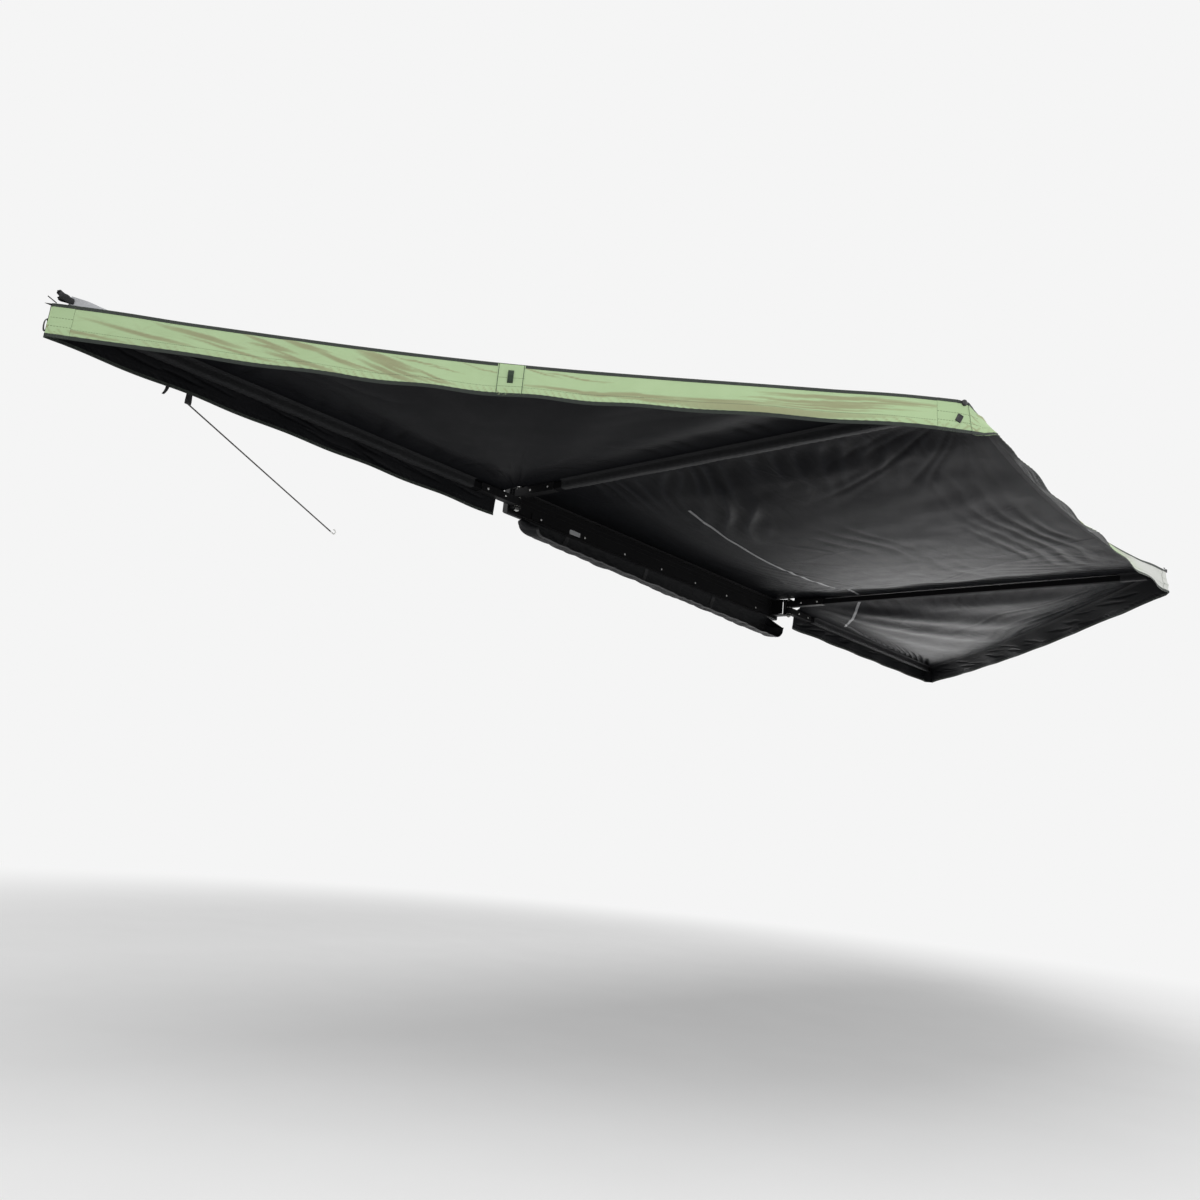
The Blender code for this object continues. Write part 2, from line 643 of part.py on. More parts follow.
def knuckle_mesh_outline():
    half = KNUCKLE_HEIGHT / 2
    nose = arc((0, 0), half, math.pi / 2, math.pi * 1.5, 10)
    return nose + [(KNUCKLE_LENGTH, -half), (KNUCKLE_LENGTH, half)]


def tube_mesh(name, width, wall, corner, start, end):
    """Square tube along X, open at both ends."""
    bm = bmesh.new()
    outer = rounded_box((0, 0), width, width, corner)
    inner = rounded_box((0, 0), width - 2 * wall, width - 2 * wall, max(corner - wall, 0.0005))
    turn = axis_frame("X")
    loops = []
    for points, level in ((outer, start), (outer, end), (inner, end), (inner, start)):
        loops.append([bm.verts.new(turn @ Vector((a, b, level))) for a, b in points])
    for low, high in zip(loops, loops[1:] + loops[:1]):
        count = len(low)
        for index in range(count):
            after = (index + 1) % count
            bm.faces.new((low[index], high[index], high[after], low[after]))
    return to_mesh(name, bm)


def tip_mesh(name):
    """Ribbed plug inside the tube's end, with a flange that covers it."""
    bm = bmesh.new()
    plug = TUBE_WIDTH / 2 - TUBE_WALL - TOUCH
    flange = TUBE_WIDTH / 2
    start = ARM_REACH - TIP_PLUG_LENGTH
    narrow = rounded_box((0, 0), 2 * plug, 2 * plug, TIP_PLUG_CORNER)
    wide = rounded_box((0, 0), 2 * flange, 2 * flange, TUBE_CORNER)
    add_stepped(bm, wide, narrow, ARM_REACH + TOUCH + TIP_FLANGE, ARM_REACH + TOUCH, start, "X")
    return to_mesh(name, bm)


def arm_screw_mesh(name, side):
    """Screw heads on the open side of a knuckle: side is its local Y direction."""
    bm = bmesh.new()
    for x in ARM_SCREW_PLACES:
        place = Vector((x, side * (KNUCKLE_HEIGHT / 2 - HEAD_SINK), 0))
        add_dome(bm, place, Vector((0, side, 0)), ARM_SCREW_RADIUS, ARM_SCREW_HEIGHT + HEAD_SINK, 8)
    return to_mesh(name, bm)


def arm_matrix(pivot, level, heading):
    return Matrix.Translation((pivot.x, pivot.y, level)) @ Matrix.Rotation(heading, 4, "Z")


def build_arm(name, pivot, level, heading, screw_side, mats, shared):
    """One folding arm on its pivot empty: knuckle with screw heads, square tube, tip plug."""
    place = arm_matrix(pivot, level, heading)
    empty = make_empty(f"{name}_pivot", place)
    half = KNUCKLE_HEIGHT / 2
    knuckle_part = make_local(
        f"{name}_knuckle", prism_mesh(f"{name}_knuckle", knuckle_mesh_outline(), "Z", -half, half),
        mats["black_coated"], empty,
    )
    pocket = TUBE_WIDTH / 2 + TOUCH
    socket = rounded_box((0, 0), 2 * pocket, 2 * pocket, TUBE_CORNER)
    cut(knuckle_part, socket, "X", TUBE_START - TOUCH, KNUCKLE_LENGTH + TUBE_WIDTH, place)
    bore = circle((0, 0), PIVOT_BOLT_RADIUS + TOUCH, 16)
    cut(knuckle_part, bore, "Z", -KNUCKLE_HEIGHT, KNUCKLE_HEIGHT, place)
    add_boolean(knuckle_part, arm_screw_mesh("screw_heads", screw_side), "UNION", place)
    make_local(f"{name}_tube", shared["tube"], mats["black_coated"], empty)
    make_local(f"{name}_tip", shared["tip"], mats["black_plastic"], empty)
    return empty


def make_local(name, mesh, mat, empty, smooth=False):
    """An object whose mesh is written in its pivot's own axes."""
    obj = make_object(name, mesh, mat, smooth=smooth)
    obj.parent = empty
    return obj


def build_sleeve(name, start, end, empty, mat):
    """Cloth pocket round the tube, sewn to the canopy above it."""
    width = TUBE_WIDTH + 2 * (SLEEVE_SLACK + CLOTH)
    mesh = tube_mesh(name, width, CLOTH, TUBE_CORNER + CLOTH, start, end)
    make_local(name, mesh, mat, empty)


# Canopy: height fields over the arms


def base_rise(distance):
    """Height above the arms' level that the cloth keeps near the base."""
    near = 1.0 - smoothstep((distance - CANOPY_BASE_FLAT) / CANOPY_BASE_SLOPE)
    return (CANOPY_AT_BASE - CANOPY_OVER_UPPER) * near


def center_point(u, v):
    """Point of the centre panel: u from rear to front arm, v from the base to the hem."""
    left = REAR_PIVOT.x + TOUCH / 2
    right = FRONT_PIVOT.x - TOUCH / 2
    x = left + (right - left) * u
    rear_hem = REAR_PIVOT.y - HEM_REACH
    front_hem = FRONT_PIVOT.y - HEM_REACH
    bow = CENTER_HEM_BOW * math.sin(math.pi * u) ** HEM_BOW_SHAPE
    hem = rear_hem + (front_hem - rear_hem) * u + bow
    y = CANOPY_BASE_EDGE + (hem - CANOPY_BASE_EDGE) * v
    lateral = min(u, 1 - u) * PIVOT_SPACING
    clear = smoothstep((lateral - EDGE_COLUMN * PIVOT_SPACING) / CLEAR_RUN)
    across = math.sin(math.pi * u) * clear
    away = CANOPY_BASE_EDGE - y
    sag = CENTER_SAG * across * math.sin(math.pi * v**HEM_BOW_SHAPE)
    hem_sag = CENTER_HEM_SAG * across * smoothstep(v)
    fold = FOLD_DEPTH * math.sin(math.tau * FOLD_COUNT * v + FOLD_TURN * u) * math.sin(math.pi * v)
    fold *= clear * math.exp(-lateral / FOLD_REACH)
    z = CANOPY_OVER_UPPER + base_rise(away) - sag - hem_sag - fold
    return Vector((x, y, z))


def grid(function, steps):
    """Rows of points, with one narrow column along each arm so that the cloth lies flat on it."""
    nu, nv = steps
    inner = [EDGE_COLUMN + (1 - 2 * EDGE_COLUMN) * i / (nu - 2) for i in range(nu - 1)]
    columns = [0.0] + inner + [1.0]
    return [[function(u, j / nv) for u in columns] for j in range(nv + 1)]


def wing_point(u, v, pivot, side):
    """Point of a wing: u from the inner arm round to the outer arm, v outwards from the pivot."""
    center = Vector((pivot.x + side * TOUCH / 2, pivot.y + EDGE_BESIDE_ARM, 0.0))
    angle = math.pi / 2 * u
    inner_tip = Vector((0.0, -HEM_REACH - EDGE_BESIDE_ARM))
    outer_tip = Vector((side * HEM_REACH, 0.0))
    ray = Vector((side * math.sin(angle), -math.cos(angle)))
    edge = outer_tip - inner_tip
    determinant = ray.x * -edge.y + edge.x * ray.y
    reach = (inner_tip.x * -edge.y + edge.x * inner_tip.y) / determinant
    reach -= WING_HEM_BOW * math.sin(math.pi * u)
    radius = WING_START + (reach - WING_START) * v
    x = center.x + ray.x * radius
    y = center.y + ray.y * radius
    beside_inner = abs(ray.x) * radius
    beside_outer = abs(ray.y) * radius
    past_knuckle = max(beside_inner - KNUCKLE_HEIGHT / 2 - TOUCH, 0.0)
    share = past_knuckle / (past_knuckle + beside_outer)
    fall = smoothstep(share / LEVEL_FULL_SHARE)
    level = CANOPY_OVER_UPPER + (CANOPY_OVER_LOWER - CANOPY_OVER_UPPER) * fall
    clear = smoothstep((min(beside_inner, beside_outer) - EDGE_COLUMN * PIVOT_SPACING) / CLEAR_RUN)
    sag = WING_SAG * clear * math.sin(math.pi * v * WING_SAG_REACH) * math.sin(math.pi * u)
    fold = FOLD_DEPTH * clear * math.sin(math.tau * FOLD_COUNT * u) * v * (1 - v**FOLD_STILL_AT_HEM)
    return Vector((x, y, level - sag + fold))


def build_canopy(parents, mats):
    drop = Vector((0, 0, -CLOTH))
    mesh = sheet_mesh("canopy_center", grid(center_point, CENTER_STEPS), drop)
    make_object("canopy_center", mesh, mats["canopy_cloth"], smooth=True)
    for name, pivot, side in (("rear", REAR_PIVOT, -1), ("front", FRONT_PIVOT, 1)):
        rows = grid(lambda u, v: wing_point(u, v, pivot, side), WING_STEPS)
        mesh = sheet_mesh(f"canopy_{name}_wing", rows, drop)
        make_object(f"canopy_{name}_wing", mesh, mats["canopy_cloth"], parents[f"{name}_inner"], smooth=True)


def lean_at(leans, along):
    """Angle of a band from straight down, in radians, eased between the places given."""
    for (start, low), (end, high) in zip(leans, leans[1:]):
        if along <= end:
            return math.radians(low + (high - low) * smoothstep((along - start) / (end - start)))
    return math.radians(leans[-1][1])


def hanging_rows(edge, outward, drop, waves, steps, leans=((0.0, 0), (1.0, 0))):
    """Rows of a hanging band: it starts at the hem and swings outwards in soft folds."""
    nu, nv = steps
    rows = []
    for j in range(nv + 1):
        depth = j / nv
        row = []
        for i in range(nu + 1):
            along = i / nu
            top = edge(along)
            wave = VALANCE_FOLD * depth * (1 + math.sin(math.tau * waves * along))
            lean = lean_at(leans, along)
            away = wave * math.cos(lean) + drop * depth * math.sin(lean)
            down = drop * depth * math.cos(lean) - wave * math.sin(lean)
            row.append(top + outward * away + Vector((0, 0, -down)))
        rows.append(row)
    return rows


def build_valances(parents, mats):
    """Bands that hang outside the three hems, trimmed short at the corners."""
    for name, pivot, side in (("rear", REAR_PIVOT, -1), ("front", FRONT_PIVOT, 1)):
        outward = Vector((side, -1, 0)).normalized()

        def edge(along, pivot=pivot, side=side, outward=outward):
            trim = VALANCE_TRIM / HEM_REACH
            u = trim + (1 - 2 * trim) * along
            return wing_point(u, 1.0, pivot, side) + outward * TOUCH * 3

        leans = WING_LEANS[name]
        rows = hanging_rows(edge, outward, VALANCE_DROP, WING_VALANCE_FOLDS, VALANCE_STEPS, leans)
        mesh = sheet_mesh(f"valance_{name}", rows, outward * CLOTH)
        make_object(f"valance_{name}", mesh, mats["valance_cloth"], parents[f"{name}_inner"], smooth=True)

    def center_edge(along):
        trim = VALANCE_TRIM / PIVOT_SPACING
        u = trim + (1 - 2 * trim) * along
        return center_point(u, 1.0) + Vector((0, -TOUCH * 3, 0))

    outward = Vector((0, -1, 0))
    rows = hanging_rows(
        center_edge, outward, VALANCE_DROP, CENTER_VALANCE_FOLDS, VALANCE_STEPS, CENTER_LEANS
    )
    mesh = sheet_mesh("valance_center", rows, outward * CLOTH)
    make_object("valance_center", mesh, mats["valance_cloth"], smooth=True)


def flap_share(along):
    """Place along the wing's straight edge, a little short of both of its ends."""
    return FLAP_TRIM + (1 - 3 * FLAP_TRIM) * along


def build_flaps(parents, mats):
    """Short bands along the edges beside the vehicle, hung from the outer arms."""
    outward = Vector((0, 1, 0))
    for name, pivot, side in (("rear", REAR_PIVOT, -1), ("front", FRONT_PIVOT, 1)):

        def edge(along, pivot=pivot, side=side):
            return wing_point(1.0, flap_share(along), pivot, side) + Vector((0, TOUCH, 0))

        rows = hanging_rows(edge, outward, FLAP_DROP, FLAP_FOLDS, FLAP_STEPS)
        mesh = sheet_mesh(f"flap_{name}", rows, outward * CLOTH)
        make_object(f"flap_{name}", mesh, mats["valance_cloth"], parents[f"{name}_outer"], smooth=True)


# Travel cover


def cover_drop(x):
    """Depth of the trough at x: it hangs lower towards the front and rounds up at its ends."""
    share = x / COVER_LENGTH + 0.5
    drop = COVER_REAR_DROP + (COVER_FRONT_DROP - COVER_REAR_DROP) * share
    inset = min(COVER_LENGTH / 2 - abs(x), COVER_END_ROUND)
    short = COVER_END_ROUND - math.sqrt(COVER_END_ROUND**2 - (COVER_END_ROUND - inset)**2)
    return drop - short / 2


def cover_profile(x, offset):
    """Section of the hanging trough at x in Y and Z, offset outwards along its own normal."""
    start = Vector((COVER_HINGE_Y, BASE_BOTTOM - TOUCH))
    count = COVER_STEPS[1]
    straight = cover_drop(x) - COVER_TURN
    points = []
    for index in range(count + 1):
        share = index / count
        if share <= COVER_STRAIGHT_SHARE:
            t = share / COVER_STRAIGHT_SHARE
            points.append(start + Vector((COVER_BELLY * smoothstep(t), -straight * t)))
        else:
            angle = math.pi / 2 * (share - COVER_STRAIGHT_SHARE) / (1 - COVER_STRAIGHT_SHARE)
            y = COVER_BELLY - (COVER_LIP + COVER_BELLY) * (1 - math.cos(angle))
            points.append(start + Vector((y, -straight - COVER_TURN * math.sin(angle))))
    moved = []
    for index, point in enumerate(points):
        before = points[max(index - 1, 0)]
        after = points[min(index + 1, count)]
        tangent = (after - before).normalized() if index else Vector((0.0, -1.0))
        moved.append(point + Vector((-tangent.y, tangent.x)) * offset)
    return moved


def build_cover(parents, mats):
    """A closed ring of points for each section, bridged to the next and closed at both ends."""
    steps = COVER_STEPS[0]
    bm = bmesh.new()
    rings = []
    for i in range(steps + 1):
        x = -COVER_LENGTH / 2 * math.cos(math.pi * i / steps)
        sway = COVER_SWAY * math.sin(math.tau * 3 * i / steps)
        loop = cover_profile(x, 0.0) + list(reversed(cover_profile(x, CLOTH)))
        ring = []
        for index, point in enumerate(loop):
            depth = min(index, len(loop) - 1 - index) / (len(loop) / 2)
            ring.append(bm.verts.new((x, point.x - sway * depth, point.y)))
        rings.append(ring)
    count = len(rings[0])
    for low, high in zip(rings, rings[1:]):
        for index in range(count):
            after = (index + 1) % count
            bm.faces.new((low[index], high[index], high[after], low[after]))
    for ring in (rings[0], rings[-1]):
        for index in range(count // 2 - 1):
            bm.faces.new((ring[index], ring[index + 1], ring[count - 2 - index], ring[count - 1 - index]))
    mesh = to_mesh("travel_cover", bm)
    make_object("travel_cover", mesh, mats["cover_vinyl"], parents["cover"], smooth=True)


# Guy line and its hook


def wire_curve(name, points, radius, mat, resolution, parent):
    data = bpy.data.curves.new(name, "CURVE")
    data.dimensions = "3D"
    data.bevel_depth = radius
    data.bevel_resolution = resolution
    data.use_fill_caps = True
    spline = data.splines.new("POLY")
    spline.points.add(len(points) - 1)
    for item, point in zip(spline.points, points):
        item.co = (*point, 1.0)
    obj = bpy.data.objects.new(name, data)
    bpy.context.collection.objects.link(obj)
    data.materials.append(mat)
    attach(obj, parent)
    return obj


def guy_route():
    """The taut line from the flap's tab to the rack, in real places."""
    hem = wing_point(1.0, flap_share(GUY_FLAP_COLUMN / FLAP_STEPS[0]), REAR_PIVOT, -1)
    low = Vector((0, TOUCH + CLOTH / 2, -FLAP_DROP - GUY_TAB_DROP - GUY_DIAMETER / 2))
    foot = Vector((-GUY_FOOT_BACK, GUY_FOOT_IN, PIVOT_MID_HEIGHT - GUY_FOOT_DOWN))
    return hem + low, REAR_PIVOT + foot


def build_guy_line(parents, mats):
    start, foot = guy_route()
    outer = parents["rear_outer"]
    center = (start.x, start.z + (GUY_DIAMETER + GUY_TAB_DROP) / 2)
    tab = rounded_box(center, GUY_TAB_WIDTH, GUY_TAB_DROP - 2 * TOUCH, GUY_TAB_WIDTH / 4)
    mesh = prism_mesh("guy_tab", tab, "Y", start.y - WEBBING / 2, start.y + WEBBING / 2)
    make_object("guy_tab", mesh, mats["webbing"], outer)
    points = [start.lerp(foot, index / GUY_POINTS) for index in range(GUY_POINTS + 1)]
    wire_curve("guy_line", points, GUY_DIAMETER / 2, mats["guy_line"], 2, outer)
    along = (foot - start).normalized()
    side = along.cross(Vector((0, 0, 1))).normalized()
    up = side.cross(along)
    shank = [foot + along * TOUCH, foot + along * HOOK_SHANK]
    center = shank[-1] + up * HOOK_RADIUS
    turns = [
        center - up * HOOK_RADIUS * math.cos(angle) + along * HOOK_RADIUS * math.sin(angle)
        for angle in (math.radians(HOOK_STEP_ANGLE * step) for step in range(1, HOOK_STEPS + 1))
    ]
    wire_curve("guy_hook", shank + turns, HOOK_WIRE, mats["steel"], 2, outer)


def main():
    clear_scene()
    mats = make_materials()
    build_base(mats)
    build_brackets(mats)
    build_pivot("rear", REAR_PIVOT, -1, mats)
    build_pivot("front", FRONT_PIVOT, 1, mats)
    shared = {
        "tube": tube_mesh("arm_tube", TUBE_WIDTH, TUBE_WALL, TUBE_CORNER, TUBE_START, ARM_REACH),
        "tip": tip_mesh("arm_tip"),
    }
    out = -math.pi / 2
    parents = {}
    parents["rear_inner"] = build_arm("rear_inner", REAR_PIVOT, UPPER_LEVEL, out, 1, mats, shared)
    parents["rear_outer"] = build_arm("rear_outer", REAR_PIVOT, LOWER_LEVEL, math.pi, 1, mats, shared)
    parents["front_inner"] = build_arm("front_inner", FRONT_PIVOT, UPPER_LEVEL, out, -1, mats, shared)
    parents["front_outer"] = build_arm("front_outer", FRONT_PIVOT, LOWER_LEVEL, 0.0, -1, mats, shared)
    hinge = Matrix.Translation((0, COVER_HINGE_Y, COVER_HINGE_Z))
    parents["cover"] = make_empty("cover_hinge", hinge)
    cloth = mats["sleeve_cloth"]
    sleeve_end = ARM_REACH - SLEEVE_FROM_TIP
    for arm in ("rear_inner", "rear_outer", "front_outer"):
        build_sleeve(f"{arm}_sleeve", SLEEVE_START, sleeve_end, parents[arm], cloth)
    build_sleeve("front_inner_pocket", sleeve_end - POCKET_LENGTH, sleeve_end, parents["front_inner"], cloth)
    build_canopy(parents, mats)
    build_valances(parents, mats)
    build_flaps(parents, mats)
    build_cover(parents, mats)
    build_guy_line(parents, mats)


main()
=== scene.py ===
# %% [markdown]
# # A side awning for a roof rack, opened out
#
# The awning is carried by a long aluminium base on a roof rack. Four arms fan out from two
# pivots on that base and spread a cloth canopy with a hanging band, the valance, along its
# hems. The CAD model holds the arms, pivots and fasteners. This script dresses it: it sews
# the cloth, gives every surface its finish, and lights the whole like a studio photograph.
#
# The frame is the CAD model's own: +X runs forward along the rack, -Y points outward from
# its side and +Z is up, all in metres.
# %% Load the frame
import json
import math
import random
from collections import namedtuple

import bmesh
import bpy
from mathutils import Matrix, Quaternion, Vector, noise


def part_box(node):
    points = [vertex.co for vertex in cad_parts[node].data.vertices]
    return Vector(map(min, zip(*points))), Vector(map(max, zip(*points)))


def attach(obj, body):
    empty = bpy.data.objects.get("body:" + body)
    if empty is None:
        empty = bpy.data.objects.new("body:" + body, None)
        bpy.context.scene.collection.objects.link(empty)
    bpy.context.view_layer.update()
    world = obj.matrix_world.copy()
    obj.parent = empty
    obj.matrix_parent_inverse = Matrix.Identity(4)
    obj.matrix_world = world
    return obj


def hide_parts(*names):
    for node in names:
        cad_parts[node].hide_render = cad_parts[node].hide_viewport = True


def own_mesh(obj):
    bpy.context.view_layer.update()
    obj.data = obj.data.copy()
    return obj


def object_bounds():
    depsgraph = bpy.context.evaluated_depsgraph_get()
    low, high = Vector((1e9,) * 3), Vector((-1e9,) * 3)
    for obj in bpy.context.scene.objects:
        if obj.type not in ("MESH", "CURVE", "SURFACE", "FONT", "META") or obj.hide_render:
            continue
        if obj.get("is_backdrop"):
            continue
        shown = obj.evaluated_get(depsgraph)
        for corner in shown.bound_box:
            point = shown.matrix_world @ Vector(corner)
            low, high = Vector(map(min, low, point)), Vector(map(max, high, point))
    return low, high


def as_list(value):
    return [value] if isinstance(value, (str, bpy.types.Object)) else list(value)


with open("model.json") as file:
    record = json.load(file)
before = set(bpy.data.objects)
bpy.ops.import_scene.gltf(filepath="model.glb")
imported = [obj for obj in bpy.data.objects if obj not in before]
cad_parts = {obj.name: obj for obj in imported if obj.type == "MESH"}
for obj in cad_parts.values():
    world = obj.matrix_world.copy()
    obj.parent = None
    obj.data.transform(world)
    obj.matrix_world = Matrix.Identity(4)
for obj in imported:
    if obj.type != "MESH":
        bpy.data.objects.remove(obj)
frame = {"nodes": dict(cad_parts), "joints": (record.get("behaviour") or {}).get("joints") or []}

cad_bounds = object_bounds()
nodes = frame["nodes"]
print("CAD box", cad_bounds)

# %% [markdown]
# ## The camera
#
# The photograph looks up at the awning from behind and from its outer side. Its place and
# lens were worked out from the awning's corners, pivots and rivets. A camera's direction
# can be set with Euler angles, but a heading, a pitch and a roll read more plainly, so the
# camera is first turned to look along a direction and then rolled about it.
# %% Camera
FRAME_PIXELS = 1200
FOCAL_PIXELS = 1048.0
CAMERA_PLACE = Vector((-3.964, -3.209, -1.296))
CAMERA_HEADING = math.radians(41.75)
CAMERA_PITCH = math.radians(12.51)
CAMERA_ROLL = math.radians(5.57)


def look_direction(heading, pitch):
    level = math.cos(pitch)
    return Vector((level * math.cos(heading), level * math.sin(heading), math.sin(pitch)))


camera_data = bpy.data.cameras.new("camera")
camera_data.sensor_width = 36.0
camera_data.lens = camera_data.sensor_width * FOCAL_PIXELS / FRAME_PIXELS
camera = bpy.data.objects.new("camera", camera_data)
bpy.context.scene.collection.objects.link(camera)
facing = look_direction(CAMERA_HEADING, CAMERA_PITCH).to_track_quat("-Z", "Y")
camera.rotation_mode = "QUATERNION"
camera.rotation_quaternion = facing @ Quaternion((0.0, 0.0, 1.0), CAMERA_ROLL)
camera.location = CAMERA_PLACE
bpy.context.scene.camera = camera
print(f"lens {camera_data.lens:.2f} mm")

# %% [markdown]
# ## Places taken from the frame
#
# Every piece of cloth hangs from something in the CAD model, so its sizes start there: the
# pivots give the corners at the base, and the boxes of arms and panels give the levels. The
# joints say where the pivots stand.
# %% Places from the frame
joints = {joint["name"]: joint for joint in frame["joints"]}
REAR = Vector(joints["rear_inner_swing"]["pos_m"])
FRONT = Vector(joints["front_inner_swing"]["pos_m"])
CLOTH = 0.0009
CLOTH_ABOVE_KNUCKLE = 0.0023


def node_box(name):
    return [Vector(corner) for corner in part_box(name)]


center_low, center_high = node_box("canopy_center")
HEM_REACH = FRONT.y - center_low.y
BASE_EDGE = center_high.y
LEVEL_AT_BASE = center_high.z
LEVEL_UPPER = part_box("rear_inner_knuckle")[1][2] + CLOTH_ABOVE_KNUCKLE
LEVEL_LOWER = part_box("rear_outer_knuckle")[1][2] + CLOTH_ABOVE_KNUCKLE
SPACING = FRONT.x - REAR.x
print(f"hem reach {HEM_REACH:.3f}, levels {LEVEL_AT_BASE:.4f} {LEVEL_UPPER:.4f} {LEVEL_LOWER:.4f}")

# %% [markdown]
# ## Small helpers
#
# A sheet of cloth starts as a flat grid whose corners run from 0 to 1 both ways. A function
# says where each corner goes, and the same two numbers, scaled to metres, become its UV
# map, so that weave and stitches follow the cloth. Solidify then gives it a thickness, with
# a second material for the other face, and the modifiers are applied at once, so that each
# piece has its final mesh.
# %% Helpers for meshes
def smooth(value):
    value = min(max(value, 0.0), 1.0)
    return value * value * (3.0 - 2.0 * value)


SHARP_ANGLE = math.radians(50)


def link_object(name, data, materials):
    """A named object at the origin for a mesh, with its materials in order."""
    data.materials.clear()
    for material in materials:
        data.materials.append(material)
    obj = bpy.data.objects.new(name, data)
    bpy.context.scene.collection.objects.link(obj)
    return obj


def link_mesh(name, bm, materials):
    mesh = bpy.data.meshes.new(name)
    bm.to_mesh(mesh)
    bm.free()
    return link_object(name, mesh, materials)


def final_mesh(obj):
    """An object's mesh as its modifiers or its curve's bevel leave it."""
    graph = bpy.context.evaluated_depsgraph_get()
    graph.update()
    return bpy.data.meshes.new_from_object(obj.evaluated_get(graph))


# %% A sheet of cloth
def face_toward(bm, toward):
    """Turns all faces over if most of the sheet's area looks away from a direction."""
    bm.normal_update()
    if sum(face.normal.dot(toward) * face.calc_area() for face in bm.faces) < 0.0:
        bmesh.ops.reverse_faces(bm, faces=bm.faces)


def cloth_grid(name, place, columns, rows, materials, toward, size=None, thickness=CLOTH):
    """A sheet of cloth: place(u, v) puts the corners of a flat grid where they belong.

    The first material is on the face that looks toward, the last one is on the other face.
    The UV map is (u, v) times size, or the plan position for a sheet without a size.
    """
    bm = bmesh.new()
    bmesh.ops.create_grid(bm, x_segments=columns, y_segments=rows, size=0.5)
    layer = bm.loops.layers.uv.new("cloth")
    if size:
        for face in bm.faces:
            for loop in face.loops:
                at = loop.vert.co
                loop[layer].uv = ((at.x + 0.5) * size[0], (at.y + 0.5) * size[1])
    for vert in bm.verts:
        vert.co = place(min(max(vert.co.x + 0.5, 0.0), 1.0), min(max(vert.co.y + 0.5, 0.0), 1.0))
    for face in bm.faces:
        face.smooth = True
        if not size:
            for loop in face.loops:
                loop[layer].uv = loop.vert.co.xy
    face_toward(bm, Vector(toward))
    obj = link_mesh(name, bm, materials)
    wall = obj.modifiers.new("wall", "SOLIDIFY")
    wall.thickness = thickness
    wall.use_even_offset = False
    wall.material_offset = len(materials) - 1
    wall.material_offset_rim = len(materials) - 1
    mesh = final_mesh(obj)
    obj.modifiers.clear()
    obj.data = mesh
    mesh.set_sharp_from_angle(angle=SHARP_ANGLE)
    return obj


# %% A wire, and how a finished piece rides on its body
def wire(name, points, radius, materials, sides=3):
    """A round wire or cord through points, made by a bevelled curve."""
    curve = bpy.data.curves.new(name, "CURVE")
    curve.dimensions = "3D"
    curve.bevel_depth = radius
    curve.bevel_resolution = sides
    curve.use_fill_caps = True
    spline = curve.splines.new("POLY")
    spline.points.add(len(points) - 1)
    for item, point in zip(spline.points, points):
        item.co = (*point, 1.0)
    shape = bpy.data.objects.new(name + "_line", curve)
    bpy.context.scene.collection.objects.link(shape)
    mesh = final_mesh(shape)
    bpy.data.objects.remove(shape)
    mesh.name = name
    for polygon in mesh.polygons:
        polygon.use_smooth = True
    mesh.set_sharp_from_angle(angle=SHARP_ANGLE)
    return link_object(name, mesh, materials)


def dress(obj, body, slot, *stands_for):
    """Rides a finished piece on its body and hides the CAD parts that it replaces."""
    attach(obj, body)
    if stands_for:
        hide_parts(*stands_for)
    return obj

# %% [markdown]
# ## Shader groups
#
# Several finishes share the same effects, so each effect is a node group with named inputs.
# The weave is two crossed waves read from the UV map. The crinkle is a ridged noise, which
# gives coated cloth its short sharp creases. The stitches are dashes cut from two waves.
# Groups put out only heights, masks and tones; each shader stays in its own material.
# %% A helper that adds a node and fills its sockets
def add_node(tree, kind, inputs=None, **settings):
    """Adds a node; inputs maps a socket's name or number to a value or another socket."""
    made = tree.nodes.new(kind)
    for key, value in settings.items():
        setattr(made, key, value)
    for key, value in (inputs or {}).items():
        if isinstance(value, bpy.types.NodeSocket):
            tree.links.new(value, made.inputs[key])
        else:
            made.inputs[key].default_value = value
    return made


def math_node(tree, operation, first, second=0.0, third=None, clamp=False):
    inputs = {0: first, 1: second} if third is None else {0: first, 1: second, 2: third}
    return add_node(tree, "ShaderNodeMath", inputs, operation=operation, use_clamp=clamp).outputs[0]


def mix_colors(tree, factor, first, second, **settings):
    """Mixes two colours, each a socket or three numbers."""
    inputs = {"Factor": factor}
    for key, value in (("A", first), ("B", second)):
        inputs[key] = value if isinstance(value, bpy.types.NodeSocket) else (*value, 1.0)
    return add_node(tree, "ShaderNodeMix", inputs, data_type="RGBA", **settings).outputs["Result"]


def patches(tree, vector, scale, gain, offset):
    """Soft patches from 0 to 1: a noise made steeper by gain and moved by offset."""
    soft = add_node(tree, "ShaderNodeTexNoise", {"Vector": vector, "Scale": scale})
    return math_node(tree, "MULTIPLY_ADD", soft.outputs[0], gain, offset, clamp=True)


# %% Helpers for materials
def bump(tree, height, distance, normal=None):
    """A bump in metres, on top of another bump's normal if there is one."""
    inputs = {"Height": height, "Distance": distance}
    if normal is not None:
        inputs["Normal"] = normal
    return add_node(tree, "ShaderNodeBump", inputs).outputs[0]


def vary_roughness(tree, shader, cloud, roughness, half):
    spread = {"Value": cloud, "To Min": roughness - half, "To Max": roughness + half}
    tree.links.new(add_node(tree, "ShaderNodeMapRange", spread).outputs[0], shader.inputs["Roughness"])


def start_material(name, values):
    """A material with values on its shader: returns it, its tree and its shader."""
    material = bpy.data.materials.new(name)
    material.use_nodes = True
    shader = material.node_tree.nodes["Principled BSDF"]
    for key, value in values.items():
        shader.inputs[key].default_value = value
    return material, material.node_tree, shader


